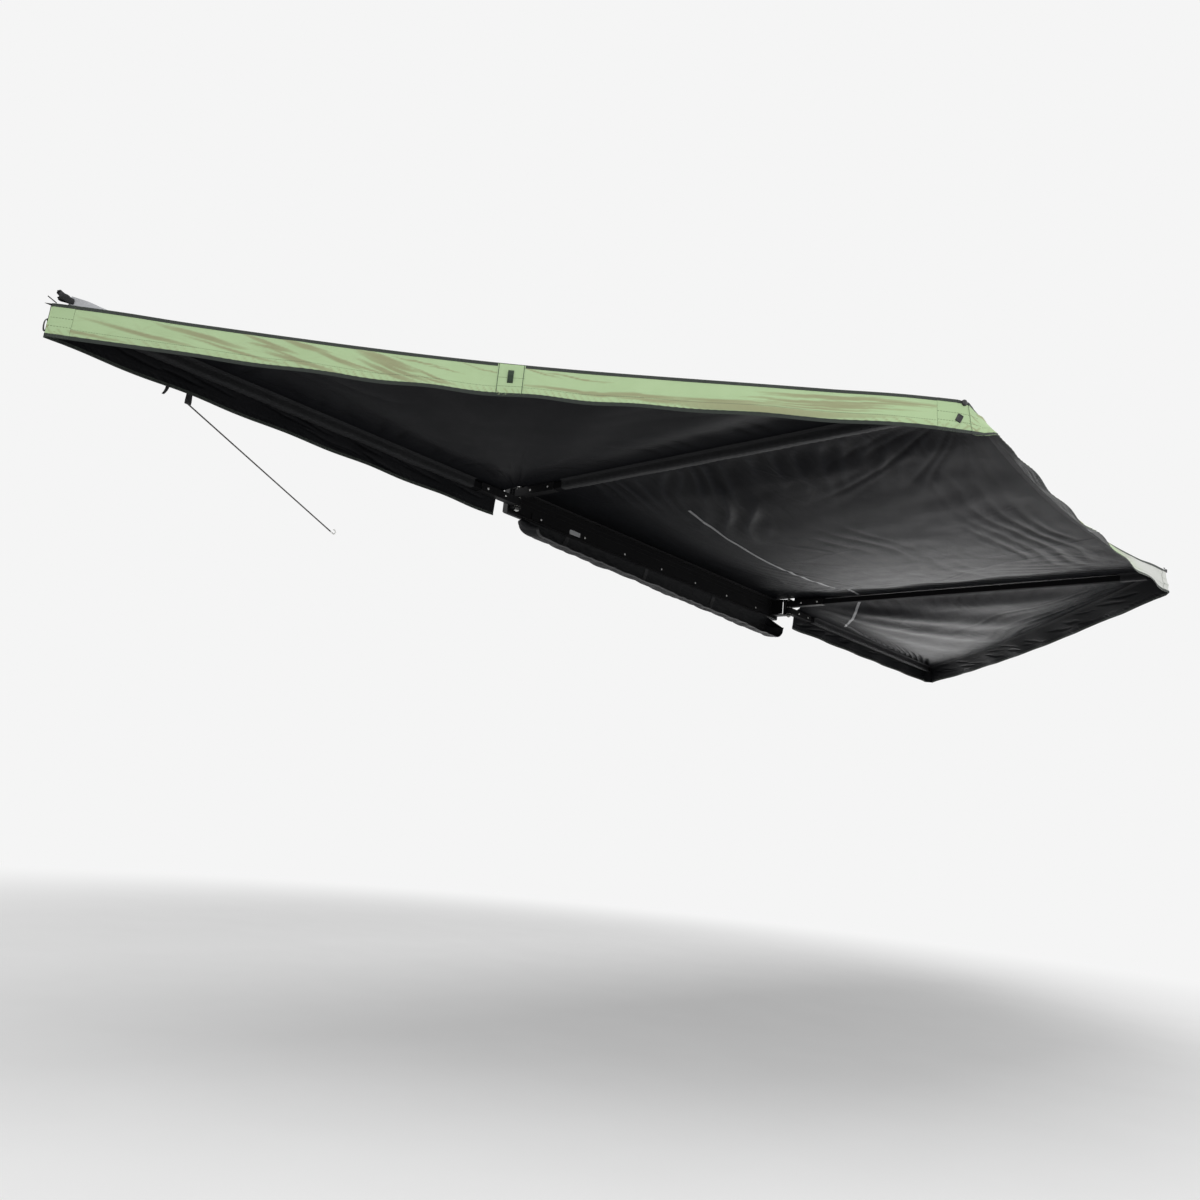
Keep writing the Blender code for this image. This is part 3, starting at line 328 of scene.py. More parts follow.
# %% A helper that starts a group
def new_group(name, inputs, outputs):
    """A shader group: its tree, its input node and its output node.

    Inputs are numbers with a default, or vectors where the default is None. Outputs are numbers.
    """
    tree = bpy.data.node_groups.new(name, "ShaderNodeTree")
    for socket, default in inputs.items():
        kind = "NodeSocketVector" if default is None else "NodeSocketFloat"
        made = tree.interface.new_socket(socket, in_out="INPUT", socket_type=kind)
        if default is not None:
            made.default_value = default
    for socket in outputs:
        tree.interface.new_socket(socket, in_out="OUTPUT", socket_type="NodeSocketFloat")
    return tree, tree.nodes.new("NodeGroupInput"), tree.nodes.new("NodeGroupOutput")


# %% The weave group
def make_weave():
    tree, source, sink = new_group("weave", {"Vector": None, "Threads": 1400.0}, ["Height"])
    apart = add_node(tree, "ShaderNodeSeparateXYZ", {0: source.outputs["Vector"]})
    waves = []
    for axis in ("X", "Y"):
        turned = math_node(tree, "MULTIPLY", apart.outputs[axis], source.outputs["Threads"])
        waves.append(math_node(tree, "SINE", math_node(tree, "MULTIPLY", turned, math.pi)))
    crossed = math_node(tree, "MULTIPLY", waves[0], waves[1])
    tree.links.new(math_node(tree, "MULTIPLY_ADD", crossed, 0.5), sink.inputs["Height"])
    return tree


WEAVE = make_weave()

# %% The crinkle group
def make_crinkle():
    tree, source, sink = new_group("crinkle", {"Vector": None, "Scale": 9.0}, ["Height", "Tone"])
    where = source.outputs["Vector"]
    ridges = {"Vector": where, "Scale": source.outputs["Scale"], "Detail": 5.0, "Roughness": 0.45,
              "Distortion": 0.5}
    large = add_node(tree, "ShaderNodeTexNoise", ridges, noise_type="RIDGED_MULTIFRACTAL")
    height = math_node(tree, "MULTIPLY", large.outputs[0], patches(tree, where, 2.5, 2.4, -0.7))
    tree.links.new(height, sink.inputs["Height"])
    tone = add_node(tree, "ShaderNodeTexNoise", {"Vector": where, "Scale": 14.0})
    tree.links.new(tone.outputs[0], sink.inputs["Tone"])
    return tree


CRINKLE = make_crinkle()

# %% The stitching group
def make_stitches():
    """Dashes along U in rows at V = Middle - Half and Middle + Half."""
    inputs = {"Vector": None, "Middle": 0.01, "Half": 0.007, "Pitch": 0.005, "Thread": 0.0006}
    tree, source, sink = new_group("stitches", inputs, ["Mask"])
    apart = add_node(tree, "ShaderNodeSeparateXYZ", {0: source.outputs["Vector"]})
    away = math_node(tree, "SUBTRACT", apart.outputs["Y"], source.outputs["Middle"])
    row = math_node(tree, "SUBTRACT", math_node(tree, "ABSOLUTE", away), source.outputs["Half"])
    on_row = math_node(tree, "LESS_THAN", math_node(tree, "ABSOLUTE", row), source.outputs["Thread"])
    place = math_node(tree, "DIVIDE", apart.outputs["X"], source.outputs["Pitch"])
    on_dash = math_node(tree, "LESS_THAN", math_node(tree, "FRACT", place), 0.62)
    tree.links.new(math_node(tree, "MULTIPLY", on_row, on_dash), sink.inputs["Mask"])
    return tree


STITCHES = make_stitches()

# %% The crease group
def make_creases():
    """Straight sharp creases in patches, as cloth keeps them from being packed away."""
    tree, source, sink = new_group("creases", {"Vector": None, "Scale": 3.2}, ["Height", "Ripple"])
    flat = source.outputs["Vector"]
    bend = add_node(tree, "ShaderNodeTexNoise", {"Vector": flat, "Scale": 3.0})
    pull = {0: bend.outputs["Color"], "Scale": 0.12}
    push = add_node(tree, "ShaderNodeVectorMath", pull, operation="SCALE")
    where = add_node(tree, "ShaderNodeVectorMath", {0: flat, 1: push.outputs[0]}).outputs[0]

    def turned(angle, stretch):
        placing = {"Vector": where, "Rotation": (0.0, 0.0, angle), "Scale": stretch}
        return add_node(tree, "ShaderNodeMapping", placing).outputs[0]

    lines = []
    for angle, stretch, times in ((0.5, (1.0, 0.45, 1.0), 1.0), (-0.9, (0.6, 1.0, 1.0), 2.6)):
        place = turned(angle, stretch)
        size = math_node(tree, "MULTIPLY", source.outputs["Scale"], times)
        net = {"Vector": place, "Scale": size}
        cells = add_node(tree, "ShaderNodeTexVoronoi", net, feature="DISTANCE_TO_EDGE")
        near_edge = {"Value": cells.outputs["Distance"], "From Max": 0.045, "To Min": 1.0, "To Max": 0.0}
        line = add_node(tree, "ShaderNodeMapRange", near_edge).outputs[0]
        lines.append(math_node(tree, "MULTIPLY", line, patches(tree, place, 1.7, 5.0, -2.7)))
    stretched = {"Vector": turned(0.12, (0.30, 2.2, 1.0)), "Scale": 13.0, "Detail": 4.0}
    fine = math_node(tree, "SUBTRACT", add_node(tree, "ShaderNodeTexNoise", stretched).outputs[0], 0.5)
    ripple = math_node(tree, "MULTIPLY", fine, patches(tree, flat, 1.3, 5.0, -1.9))
    tree.links.new(ripple, sink.inputs["Ripple"])
    sharp = math_node(tree, "MAXIMUM", *lines)
    tree.links.new(math_node(tree, "MULTIPLY_ADD", sharp, 0.5, ripple), sink.inputs["Height"])
    return tree


CREASES = make_creases()

# %% [markdown]
# ## Cloth finishes
#
# The canopy's underside is a black coated cloth with a low sheen, its upper face is grey,
# and the valances are sage green outside. One function makes them all, because they differ
# only in colour, gloss and how deep the creases are. A large soft noise varies the colour,
# as sun and handling do on real canvas. The underside also gets painted shade in its
# hollows and a painted highlight on its ridges, and the valances painted shade on their folds.
# %% Cloth materials
# Painted shade in the hollows and painted highlight on the ridges multiply the underside's colour; the
# creases' ripple adds to them by RIPPLE_SHARE.
PAINTED_HOLLOW_SHADE = 0.42
PAINTED_RIDGE_HIGHLIGHT = 1.48
RIPPLE_SHARE = 2.2
PALE_CORNER_GREY = (0.53, 0.54, 0.51)
# Strength of the thin lines of painted shade drawn along the valances' creases.
PAINTED_CREASE_SHADE = 0.55


def paint_hollow_shade(tree, tone, ripple):
    """Painted shade darkens the cloth in its hollows, and a painted highlight lightens its ridges."""
    hollow = add_node(tree, "ShaderNodeAttribute", attribute_name="hollow").outputs["Fac"]
    if ripple:
        hollow = math_node(tree, "MULTIPLY_ADD", ripple, RIPPLE_SHARE, hollow)
    shades = {"Value": hollow, "From Min": -1.0, "To Min": PAINTED_HOLLOW_SHADE, "To Max": PAINTED_RIDGE_HIGHLIGHT}
    light = add_node(tree, "ShaderNodeMapRange", shades).outputs[0]
    return mix_colors(tree, 1.0, tone, light, blend_type="MULTIPLY")


def cloth_material(name, color, second, roughness, crinkle, weave=0.0002, specular=0.5, fold_tint=None,
                   creases=0.0, hollows=False):
    """A coated or woven cloth; crinkle, weave and creases are heights in metres."""
    material, tree, shader = start_material(name, {"Specular IOR Level": specular})
    where = add_node(tree, "ShaderNodeUVMap", uv_map="cloth").outputs[0]
    woven = add_node(tree, "ShaderNodeGroup", {"Vector": where}, node_tree=WEAVE)
    creased = add_node(tree, "ShaderNodeGroup", {"Vector": where}, node_tree=CRINKLE)
    tone = mix_colors(tree, creased.outputs["Tone"], color, second)
    # Painted shade on the valances: olive brown on the faces of folds that turn down, on puckers and along
    # thin crease lines.
    if fold_tint:
        facing = add_node(tree, "ShaderNodeAttribute", attribute_name="fold_tint").outputs["Fac"]
        packed = add_node(tree, "ShaderNodeMapping", {"Vector": where, "Scale": (0.30, 1.0, 1.0)})
        sharp = {"Vector": packed.outputs[0], "Scale": 16.0}
        lines = add_node(tree, "ShaderNodeGroup", sharp, node_tree=CREASES)
        drawn = math_node(tree, "MULTIPLY", lines.outputs["Height"], PAINTED_CREASE_SHADE)
        tone = mix_colors(tree, math_node(tree, "MAXIMUM", facing, drawn), tone, fold_tint)
        # The valances turn pale grey towards the front inner corner.
        faded = add_node(tree, "ShaderNodeAttribute", attribute_name="faded").outputs["Fac"]
        tone = mix_colors(tree, faded, tone, PALE_CORNER_GREY)
    if creases:
        snapped = add_node(tree, "ShaderNodeGroup", {"Vector": where}, node_tree=CREASES)
    # Painted shade in the hollows and painted highlight on the ridges.
    if hollows:
        tone = paint_hollow_shade(tree, tone, snapped.outputs["Ripple"] if creases else None)
    tree.links.new(tone, shader.inputs["Base Color"])
    vary_roughness(tree, shader, creased.outputs["Tone"], roughness, 0.06)
    normal = bump(tree, creased.outputs["Height"], crinkle)
    if creases:
        normal = bump(tree, snapped.outputs["Height"], creases, normal)
    tree.links.new(bump(tree, woven.outputs["Height"], weave, normal), shader.inputs["Normal"])
    return material


# %% Rows of stitches on a cloth
def sew(material, thread, middle, half=0.0, pitch=0.005, gauge=0.0006):
    """Adds rows of stitches to a cloth material, in a thread colour."""
    tree = material.node_tree
    shader = tree.nodes["Principled BSDF"]
    base = shader.inputs["Base Color"].links[0].from_socket
    rows = {"Vector": tree.nodes["UV Map"].outputs[0], "Middle": middle, "Half": half,
            "Pitch": pitch, "Thread": gauge}
    sewn = add_node(tree, "ShaderNodeGroup", rows, node_tree=STITCHES)
    tree.links.new(mix_colors(tree, sewn.outputs["Mask"], base, thread), shader.inputs["Base Color"])
    return material


# %% The cloths
# The underside gets painted shade in its hollows and a painted highlight on its ridges.
UNDERSIDE = cloth_material(
    "canopy_underside", (0.0065, 0.0068, 0.0080), (0.0100, 0.0104, 0.0118), 0.55, 0.0012, 0.0001, 0.03,
    creases=0.0030, hollows=True)
# The rear wing's underside: the same cloth painted darker as shade, with shallower crinkles and no sharp
# creases, as it is taut.
TAUT_SHADED_UNDERSIDE = cloth_material(
    "taut_underside", (0.0046, 0.0048, 0.0060), (0.0070, 0.0073, 0.0085), 0.55, 0.0008, 0.0001, 0.03,
    hollows=True)
TOPSIDE = cloth_material(
    "canopy_topside", (0.300, 0.305, 0.310), (0.350, 0.355, 0.360), 0.80, 0.0012)
# The valance's last colour is the painted shade in its folds.
GREEN = cloth_material(
    "valance_green", (0.352, 0.478, 0.258), (0.405, 0.535, 0.310), 0.82, 0.0018,
    fold_tint=(0.265, 0.252, 0.140))
sew(GREEN, (0.10, 0.13, 0.07), 0.076, 0.0, 0.0055, 0.0007)
VALANCE_BACK = cloth_material(
    "valance_back", (0.0075, 0.0078, 0.0088), (0.0115, 0.0119, 0.0132), 0.50, 0.0014, specular=0.05)
BLACK_CANVAS = cloth_material(
    "black_canvas", (0.008, 0.0085, 0.0095), (0.014, 0.0145, 0.016), 0.75, 0.0012, 0.0003, 0.3)
COVER_CLOTH = cloth_material(
    "cover_cloth", (0.0055, 0.0058, 0.0070), (0.0100, 0.0105, 0.0120), 0.62, 0.0022, 0.0003, 0.12)
print("cloth finishes made")


# %% Sewn tapes and webbing
def tape_material(name, color, thread, width, roughness=0.7, inset=0.0025):
    """Woven tape with two rows of stitches near its edges."""
    second = tuple(1.35 * value for value in color)
    material = cloth_material(name, color, second, roughness, 0.0004, 0.0004)
    return sew(material, thread, width / 2, width / 2 - inset)


BINDING_WIDTH = 0.010
BINDING = tape_material("binding", (0.012, 0.017, 0.013), (0.05, 0.06, 0.05), BINDING_WIDTH)
SEAM_WIDTH = 0.014
SEAM_TAPE = tape_material("seam_tape", (0.10, 0.102, 0.105), (0.05, 0.05, 0.055), SEAM_WIDTH, 0.5)
STRAP_WIDTH = 0.025
STRAP = tape_material("strap", (0.010, 0.010, 0.011), (0.03, 0.03, 0.03), STRAP_WIDTH, 0.65)
DARK_GREEN = tape_material("dark_green_tape", (0.010, 0.022, 0.010), (0.03, 0.05, 0.03), 0.02, 0.75)

# %% [markdown]
# ## Hard finishes
#
# The base, strip, arms and brackets are aluminium with a satin black powder coat. Handling
# wears its edges to a lighter grey, which a bevel-aware normal finds: where the rounded
# normal departs from the true one, there is an edge. Screws and bolts are zinc plated.
# %% The edge wear group
EDGE_RADIUS = 0.0008


def make_edge_wear():
    tree, source, sink = new_group("edge_wear", {"Radius": EDGE_RADIUS, "Vector": None}, ["Mask"])
    rounded = add_node(tree, "ShaderNodeBevel", {"Radius": source.outputs["Radius"]}, samples=4)
    true = add_node(tree, "ShaderNodeNewGeometry").outputs["True Normal"]
    dot = add_node(tree, "ShaderNodeVectorMath", {0: rounded.outputs[0], 1: true}, operation="DOT_PRODUCT")
    edge = math_node(tree, "SUBTRACT", 1.0, dot.outputs["Value"])
    patch = add_node(tree, "ShaderNodeTexNoise", {"Vector": source.outputs["Vector"], "Scale": 60.0})
    worn = math_node(tree, "MULTIPLY", edge, math_node(tree, "MULTIPLY", patch.outputs[0], 5.0), clamp=True)
    tree.links.new(worn, sink.inputs["Mask"])
    return tree


EDGE_WEAR = make_edge_wear()

# %% Metal and plastic materials
def hard_material(name, color, worn, roughness, metallic=0.0, grain=900.0, depth=0.00004, specular=0.5):
    """A coated, bare or moulded surface, mottled, with worn edges and a fine grain."""
    material, tree, shader = start_material(name, {"Metallic": metallic, "Specular IOR Level": specular})
    where = add_node(tree, "ShaderNodeTexCoord").outputs["Object"]
    wear = add_node(tree, "ShaderNodeGroup", {"Vector": where, "Radius": EDGE_RADIUS}, node_tree=EDGE_WEAR)
    cloud = add_node(tree, "ShaderNodeTexNoise", {"Vector": where, "Scale": 7.0, "Detail": 6.0}).outputs[0]
    mottled = mix_colors(tree, cloud, color, [1.3 * value for value in color])
    tree.links.new(mix_colors(tree, wear.outputs[0], mottled, worn), shader.inputs["Base Color"])
    vary_roughness(tree, shader, cloud, roughness, 0.07)
    peel = add_node(tree, "ShaderNodeTexNoise", {"Vector": where, "Scale": grain, "Detail": 2.0})
    tree.links.new(bump(tree, peel.outputs[0], depth), shader.inputs["Normal"])
    return material


BLACK_COAT = hard_material("black_coat", (0.0075, 0.0075, 0.008), (0.05, 0.05, 0.052), 0.55, specular=0.09)
BARE_ALLOY = hard_material("bare_alloy", (0.66, 0.67, 0.68), (0.80, 0.80, 0.80), 0.38, 0.6, 400.0)
ZINC = hard_material("zinc_plate", (0.58, 0.58, 0.56), (0.75, 0.75, 0.74), 0.30, 1.0, 700.0)
BLACK_PLASTIC = hard_material("black_plastic", (0.009, 0.009, 0.0095), (0.02, 0.02, 0.02), 0.55, 0.0, 1500.0)
NYLON = hard_material("nylon_washer", (0.62, 0.62, 0.58), (0.7, 0.7, 0.68), 0.5, 0.0, 900.0)
ROPE_CORE = hard_material("rope_core", (0.02, 0.02, 0.021), (0.03, 0.03, 0.03), 0.8, 0.0, 2400.0, 0.0003)
GUY = hard_material("guy_cord", (0.060, 0.058, 0.055), (0.10, 0.10, 0.10), 0.85, 0.0, 1800.0, 0.0005)
print("hard finishes made")

# %% [markdown]
# ## The guy cord
#
# A guy cord runs taut from a tab on the rear flap back to the rack. Its route repeats the
# CAD model's: both ends are known, and a cord under tension between them is a straight
# line. It ends in a bent steel wire hook, which the tension keeps in place.
# %% The guy cord, its hook and its tab
GUY_DIAMETER = 0.005
GUY_START = Vector((-2.5157, -0.0735, -0.0840))
GUY_FOOT = Vector((-1.8600, 0.0212, -0.3120))
GUY_STEPS = 30
HOOK_SHANK, HOOK_RADIUS, HOOK_WIRE = 0.014, 0.008, 0.0022
HOOK_STEPS, HOOK_TURN = 27, 225.0

guy_points = [GUY_START.lerp(GUY_FOOT, step / GUY_STEPS) for step in range(GUY_STEPS + 1)]
guy = wire("guy_cord", guy_points, GUY_DIAMETER / 2, [GUY])
dress(guy, "rear_outer_arm", "guy_line", "guy_line")

along = (GUY_FOOT - GUY_START).normalized()
up = along.cross(Vector((0.0, 0.0, 1.0))).normalized().cross(along)
eye = [GUY_FOOT + along * 0.0003, GUY_FOOT + along * HOOK_SHANK]
bend = eye[-1] + up * HOOK_RADIUS
for step in range(1, HOOK_STEPS + 1):
    angle = math.radians(HOOK_TURN * step / HOOK_STEPS)
    eye.append(bend + (along * math.sin(angle) - up * math.cos(angle)) * HOOK_RADIUS)
hook = wire("guy_wire_hook", eye, HOOK_WIRE, [ZINC], 4)
dress(hook, "rear_outer_arm", "steel", "guy_hook")

TAB_WIDTH = 0.020
TAB_STRAIGHT = 0.42
TAB_BACK = 0.0009
TAB_DROP = 0.030
TAB_TOP = GUY_START.z + GUY_DIAMETER / 2 + TAB_DROP


def tab_place(width_share, path_share):
    """A strap folded round the cord's end: down its front, under the cord and up again."""
    side = (width_share - 0.5) * TAB_WIDTH
    reach = GUY_DIAMETER / 2 + TAB_BACK
    if not TAB_STRAIGHT <= path_share <= 1.0 - TAB_STRAIGHT:
        half = TAB_BACK + GUY_DIAMETER / 2 * smooth((1.0 - 2.0 * abs(path_share - 0.5)) * 1.6)
        down = min(path_share, 1.0 - path_share) / TAB_STRAIGHT
        face = 1.0 if path_share > 0.5 else -1.0
        return Vector((GUY_START.x + side, GUY_START.y + face * half, TAB_TOP - down * TAB_DROP))
    turn = math.pi * (path_share - TAB_STRAIGHT) / (1.0 - 2.0 * TAB_STRAIGHT)
    return GUY_START + Vector((side, -math.cos(turn) * reach, reach * 0.4 - math.sin(turn) * reach))


tab = cloth_grid("guy_loop", tab_place, 8, 60, [STRAP], (0, 0, -1), (TAB_WIDTH, 0.07), 0.0007)
dress(tab, "rear_outer_arm", "webbing", "guy_tab")
for piece in (guy, hook, tab):
    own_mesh(piece)
print("guy cord made")

# %% [markdown]
# ## The shape of the canopy
#
# The canopy is one cloth in three panels. The middle panel joins the base to the two inner
# arms, and a wing spreads from each inner arm to its outer arm. The outer arms lie lower on
# the pivots, so each wing falls from one level to the other as it fans out. Between the arms
# the cloth sags under its own weight, and its hem bows in a little, as tight cloth does.
# %% Sizes of the panels, and the middle one's shape
CENTER_SAG = 0.085
HEM_SAG = 0.045
HEM_BOW = 0.060
WING_SAG = 0.055
BESIDE_ARM = 0.024
WING_START = 0.090
WING_BOW = 0.010
KNUCKLE_HALF = 0.017
PANEL_GAP = 0.0003
ON_SLEEVE, SLEEVE_TO_SAG = 0.0466, 0.25
FOLD_DEPTH, FOLD_COUNT, FOLD_REACH = 0.009, 5, 0.35
WING_SPREAD = 1.3


def center_hem(u):
    """The middle panel's hem, from the rear arm to the front one."""
    return REAR.y - HEM_REACH + (FRONT.y - REAR.y) * u + HEM_BOW * math.sin(math.pi * u) ** 0.8


def rise_to_base(y):
    """The middle panel comes down from the base's height to the arms' behind the knuckles."""
    return (LEVEL_AT_BASE - LEVEL_UPPER) * (1.0 - smooth((BASE_EDGE - y - 0.200) / 0.300))


def center_point(u, v):
    """Top of the middle panel: u from the rear arm to the front one, v from base to hem."""
    x = REAR.x + PANEL_GAP / 2 + (SPACING - PANEL_GAP) * u
    y = BASE_EDGE + (center_hem(u) - BASE_EDGE) * v
    beside = min(u, 1.0 - u) * SPACING
    clear = smooth((beside - ON_SLEEVE) / SLEEVE_TO_SAG)
    across = math.sin(math.pi * u) * clear
    sag = CENTER_SAG * across * math.sin(math.pi * v**0.8) + HEM_SAG * across * smooth(v)
    fold = FOLD_DEPTH * math.sin(math.tau * FOLD_COUNT * v + 2.5 * u) * math.sin(math.pi * v) * clear
    return Vector((x, y, LEVEL_UPPER + rise_to_base(y) - sag - fold * math.exp(-beside / FOLD_REACH)))


# %% Shape of the wings
def wing_reach(u, side):
    """Direction of a wing's ray at u, and how far the hem is along it."""
    angle = math.pi / 2 * u
    ray = Vector((side * math.sin(angle), -math.cos(angle)))
    inner_tip = Vector((0.0, -HEM_REACH - BESIDE_ARM))
    edge = Vector((side * HEM_REACH, 0.0)) - inner_tip
    reach = (inner_tip.x * -edge.y + edge.x * inner_tip.y) / (ray.x * -edge.y + edge.x * ray.y)
    return ray, reach - WING_BOW * math.sin(math.pi * u)


def wing_uv(x, y, pivot, side):
    """The u and v of a wing that lie at a place in plan."""
    away = Vector((x - pivot.x, y - pivot.y - BESIDE_ARM))
    u = math.atan2(side * away.x, -away.y) / (math.pi / 2)
    v = (away.length - WING_START) / (wing_reach(u, side)[1] - WING_START)
    return Vector((1.0 - (1.0 - u) ** (1.0 / WING_SPREAD), v))


def center_uv(x, y):
    """The u and v of the whole middle panel that lie at a place in plan."""
    u = (x - REAR.x) / SPACING
    return Vector((u, (BASE_EDGE - y) / (BASE_EDGE - center_hem(u))))


def wing_point(u, v, pivot, side):
    """Top of a wing: u from the inner arm round to the outer one, v outwards."""
    ray, reach = wing_reach(u, side)
    radius = WING_START + (reach - WING_START) * v
    beside_inner, beside_outer = abs(ray.x) * radius, abs(ray.y) * radius
    past = max(beside_inner - KNUCKLE_HALF - PANEL_GAP, 0.0)
    fall = smooth(past / (past + beside_outer) / 0.97)
    level = LEVEL_UPPER + (LEVEL_LOWER - LEVEL_UPPER) * fall
    clear = smooth((min(beside_inner, beside_outer) - ON_SLEEVE) / SLEEVE_TO_SAG)
    sag = WING_SAG * clear * math.sin(math.pi * v * 0.8) * math.sin(math.pi * u)
    fold = FOLD_DEPTH * clear * math.sin(math.tau * FOLD_COUNT * u) * v * (1.0 - v**6)
    x = pivot.x + side * PANEL_GAP / 2 + ray.x * radius
    return Vector((x, pivot.y + BESIDE_ARM + ray.y * radius, level - sag + fold))


# %% [markdown]
# ## Creases
#
# Stretched cloth doesn't hang evenly. It gathers along the sleeves that pull on it, and it
# fans out from every corner and pivot. A simulation could find such folds, but on panels of
# two metres it would need a very fine mesh. Each kind of fold is therefore a small function
# of the place in plan: a row of crests, bent by noise and faded out with distance.
# %% Kinds of fold
def crest(turns):
    """A row of sharp-backed folds, one for each whole turn: 1 on their backs, 0 between."""
    return 1.0 - abs(math.sin(math.pi * turns))


def wander(x, y, seed):
    return noise.noise(Vector((x, y, 7.3 * seed)))


def fan(point, apex, heading, spread, folds, reach, depth, seed):
    """Folds that radiate from apex within spread of a heading, and fade out at reach."""
    away = point - Vector(apex)
    radius = away.length
    if radius > reach or radius < 1e-6:
        return 0.0
    turned = (math.degrees(math.atan2(away.y, away.x)) - heading + 180.0) % 360.0 - 180.0
    beside = 1.0 if spread >= 360 else smooth(2.5 * (1.0 - abs(turned) / (spread / 2)))
    bent = wander(turned / 14.0, radius * 2.5, seed) * 1.1
    each = 0.55 + 0.9 * wander(turned / 9.0, 3.0, seed + 5)
    fade = smooth(radius / 0.10) * (1.0 - smooth((radius / reach - 0.25) / 0.75))
    return depth * beside * fade * max(each, 0.1) * crest(turned / spread * folds + bent)


def gathers(point, start, end, spacing, reach, depth, slants, seed):
    """Folds that leave a seam from start to end, on its left, and die out within reach.

    slants says how far the folds lean back towards the start, there and at the end.
    """
    start = Vector(start)
    line = Vector(end) - start
    length = line.length
    line.normalize()
    offset = point - start
    along = offset.dot(line)
    beside = offset.dot(Vector((-line.y, line.x)))
    if beside <= 0.0 or beside >= reach or along < 0.0 or along > length:
        return 0.0
    slant = slants[0] + (slants[1] - slants[0]) * along / length
    turn = (along + slant * beside) / spacing + 1.2 * wander(along * 4.0, beside * 3.0, seed)
    own = 0.5 + 0.5 * wander(turn * 0.7, 1.0, seed + 3)
    fade = smooth(along / 0.15) * smooth((length - along) / 0.15)
    fade *= 1.0 - smooth(beside / (reach * (0.35 + 0.65 * own)))
    return depth * fade * (0.4 + own) * crest(turn)


# %% Folds side by side
def long_folds(point, center, heading, length, width, spacing, depth, seed):
    """Folds side by side that run along a heading inside an oval patch."""
    offset = point - Vector(center)
    run = Vector((math.cos(math.radians(heading)), math.sin(math.radians(heading))))
    along = offset.dot(run)
    beside = offset.dot(Vector((-run.y, run.x)))
    inside = 1.0 - (along / (length / 2)) ** 2 - (beside / (width / 2)) ** 2
    if inside <= 0.0:
        return 0.0
    bent = 1.2 * wander(along * 2.2, beside * 3.0, seed)
    own = 0.7 + 0.8 * wander(along * 1.5, beside * 9.0, seed + 2)
    return depth * smooth(1.6 * inside) * max(own, 0.05) * crest(beside / spacing + bent)


# %% Where the folds lie on each panel
def center_creases(p):
    fine = 0.0035 * smooth(p.length / 2.0) * wander(p.x * 7, p.y * 5, 3)
    return (
        gathers(p, (-1.03, -0.35), (-1.03, -1.75), 0.085, 0.75, -0.011, (0.35, 0.35), 1)
        + gathers(p, (1.03, -1.95), (1.03, -0.30), 0.075, 0.45, 0.006, (-1.6, -1.2), 2)
        + fan(p, (0.80, -0.36), 0, 360, 13, 0.55, -0.005, 3)
        + fan(p, (-1.00, -1.98), 48, 95, 11, 1.10, 0.0045, 4)
        + fan(p, (1.00, -2.04), 128, 95, 12, 0.90, 0.0045, 5)
        + long_folds(p, (0.10, -1.78), -4, 1.7, 0.34, 0.070, 0.0042, 6)
        + long_folds(p, (0.20, -1.25), -8, 1.3, 0.50, 0.085, 0.0030, 9)
        + long_folds(p, (-0.55, -0.82), 24, 0.7, 0.4, 0.13, -0.012, 7)
        + long_folds(p, (0.45, -0.55), -14, 1.1, 0.5, 0.07, 0.006, 8)
        + fine
    )


def front_creases(p):
    fine = 0.0025 * wander(p.x * 8, p.y * 6, 13)
    return (
        gathers(p, (1.09, -0.35), (1.09, -1.95), 0.10, 0.50, 0.004, (0.30, 0.30), 12)
        + fan(p, (1.09, -2.06), 54, 24, 6, 1.80, 0.0175, 14)
        + fan(p, (2.96, -0.20), 160, 60, 7, 0.80, 0.006, 13)
        + fine
    )


# %% Pleats beside the front outer arm
PLEATS = 12
PLEAT_HALF = 0.0130
PLEATS_END = 0.30


def front_outer_gathers(p):
    """The wing is pulled into narrow pleats beside its outer arm, spreading to its tip."""
    along, beside = p.x - FRONT.x, FRONT.y - p.y
    height = 0.0
    if beside > PLEATS_END:
        return height
    for pleat in range(PLEATS):
        t = pleat / (PLEATS - 1)
        root = Vector((0.80 + 1.02 * t, 0.056 - 0.044 * t))
        turn = math.radians(8.0 + 16.0 * t * t)
        run = Vector((-math.cos(turn), math.sin(turn)))
        offset = Vector((along, beside)) - root
        reach = offset.dot(run) / (0.62 - 0.22 * t)
        if -0.06 < reach < 1.0:
            half = PLEAT_HALF * (0.45 + 0.55 * t)
            aside = (offset.x * run.y - offset.y * run.x) / half
            fade = (1.0 - smooth(reach)) * smooth((reach + 0.06) / 0.10)
            height = max(height, 1.5 * half * fade * math.exp(-aside * aside))
    return height


# %% Folds on the rear wing, and where all folds fade out
def rear_creases(p):
    fine = 0.0020 * wander(p.x * 6, p.y * 6, 23)
    return (
        fan(p, (-2.96, -0.13), -22, 60, 7, 1.60, 0.0060, 21)
        + fan(p, (-1.10, -1.97), 118, 70, 7, 1.30, 0.0060, 22)
        + gathers(p, (-1.25, -0.13), (-2.95, -0.13), 0.12, 0.40, 0.0055, (-0.4, -0.4), 23)
        + gathers(p, (-1.09, -1.85), (-1.09, -0.35), 0.11, 0.45, 0.0060, (-0.3, -0.3), 24)
        + fan(p, (-1.10, -0.12), 222, 80, 7, 0.9, 0.0055, 25)
        + fine
    )


def no_gathers(p):
    return 0.0


def edge_clearance(inside_arms, v):
    """0 over the arms and at the hem, 1 well inside the panel."""
    return smooth((inside_arms - 0.030) / 0.090) * smooth((1.0 - v) / 0.040)


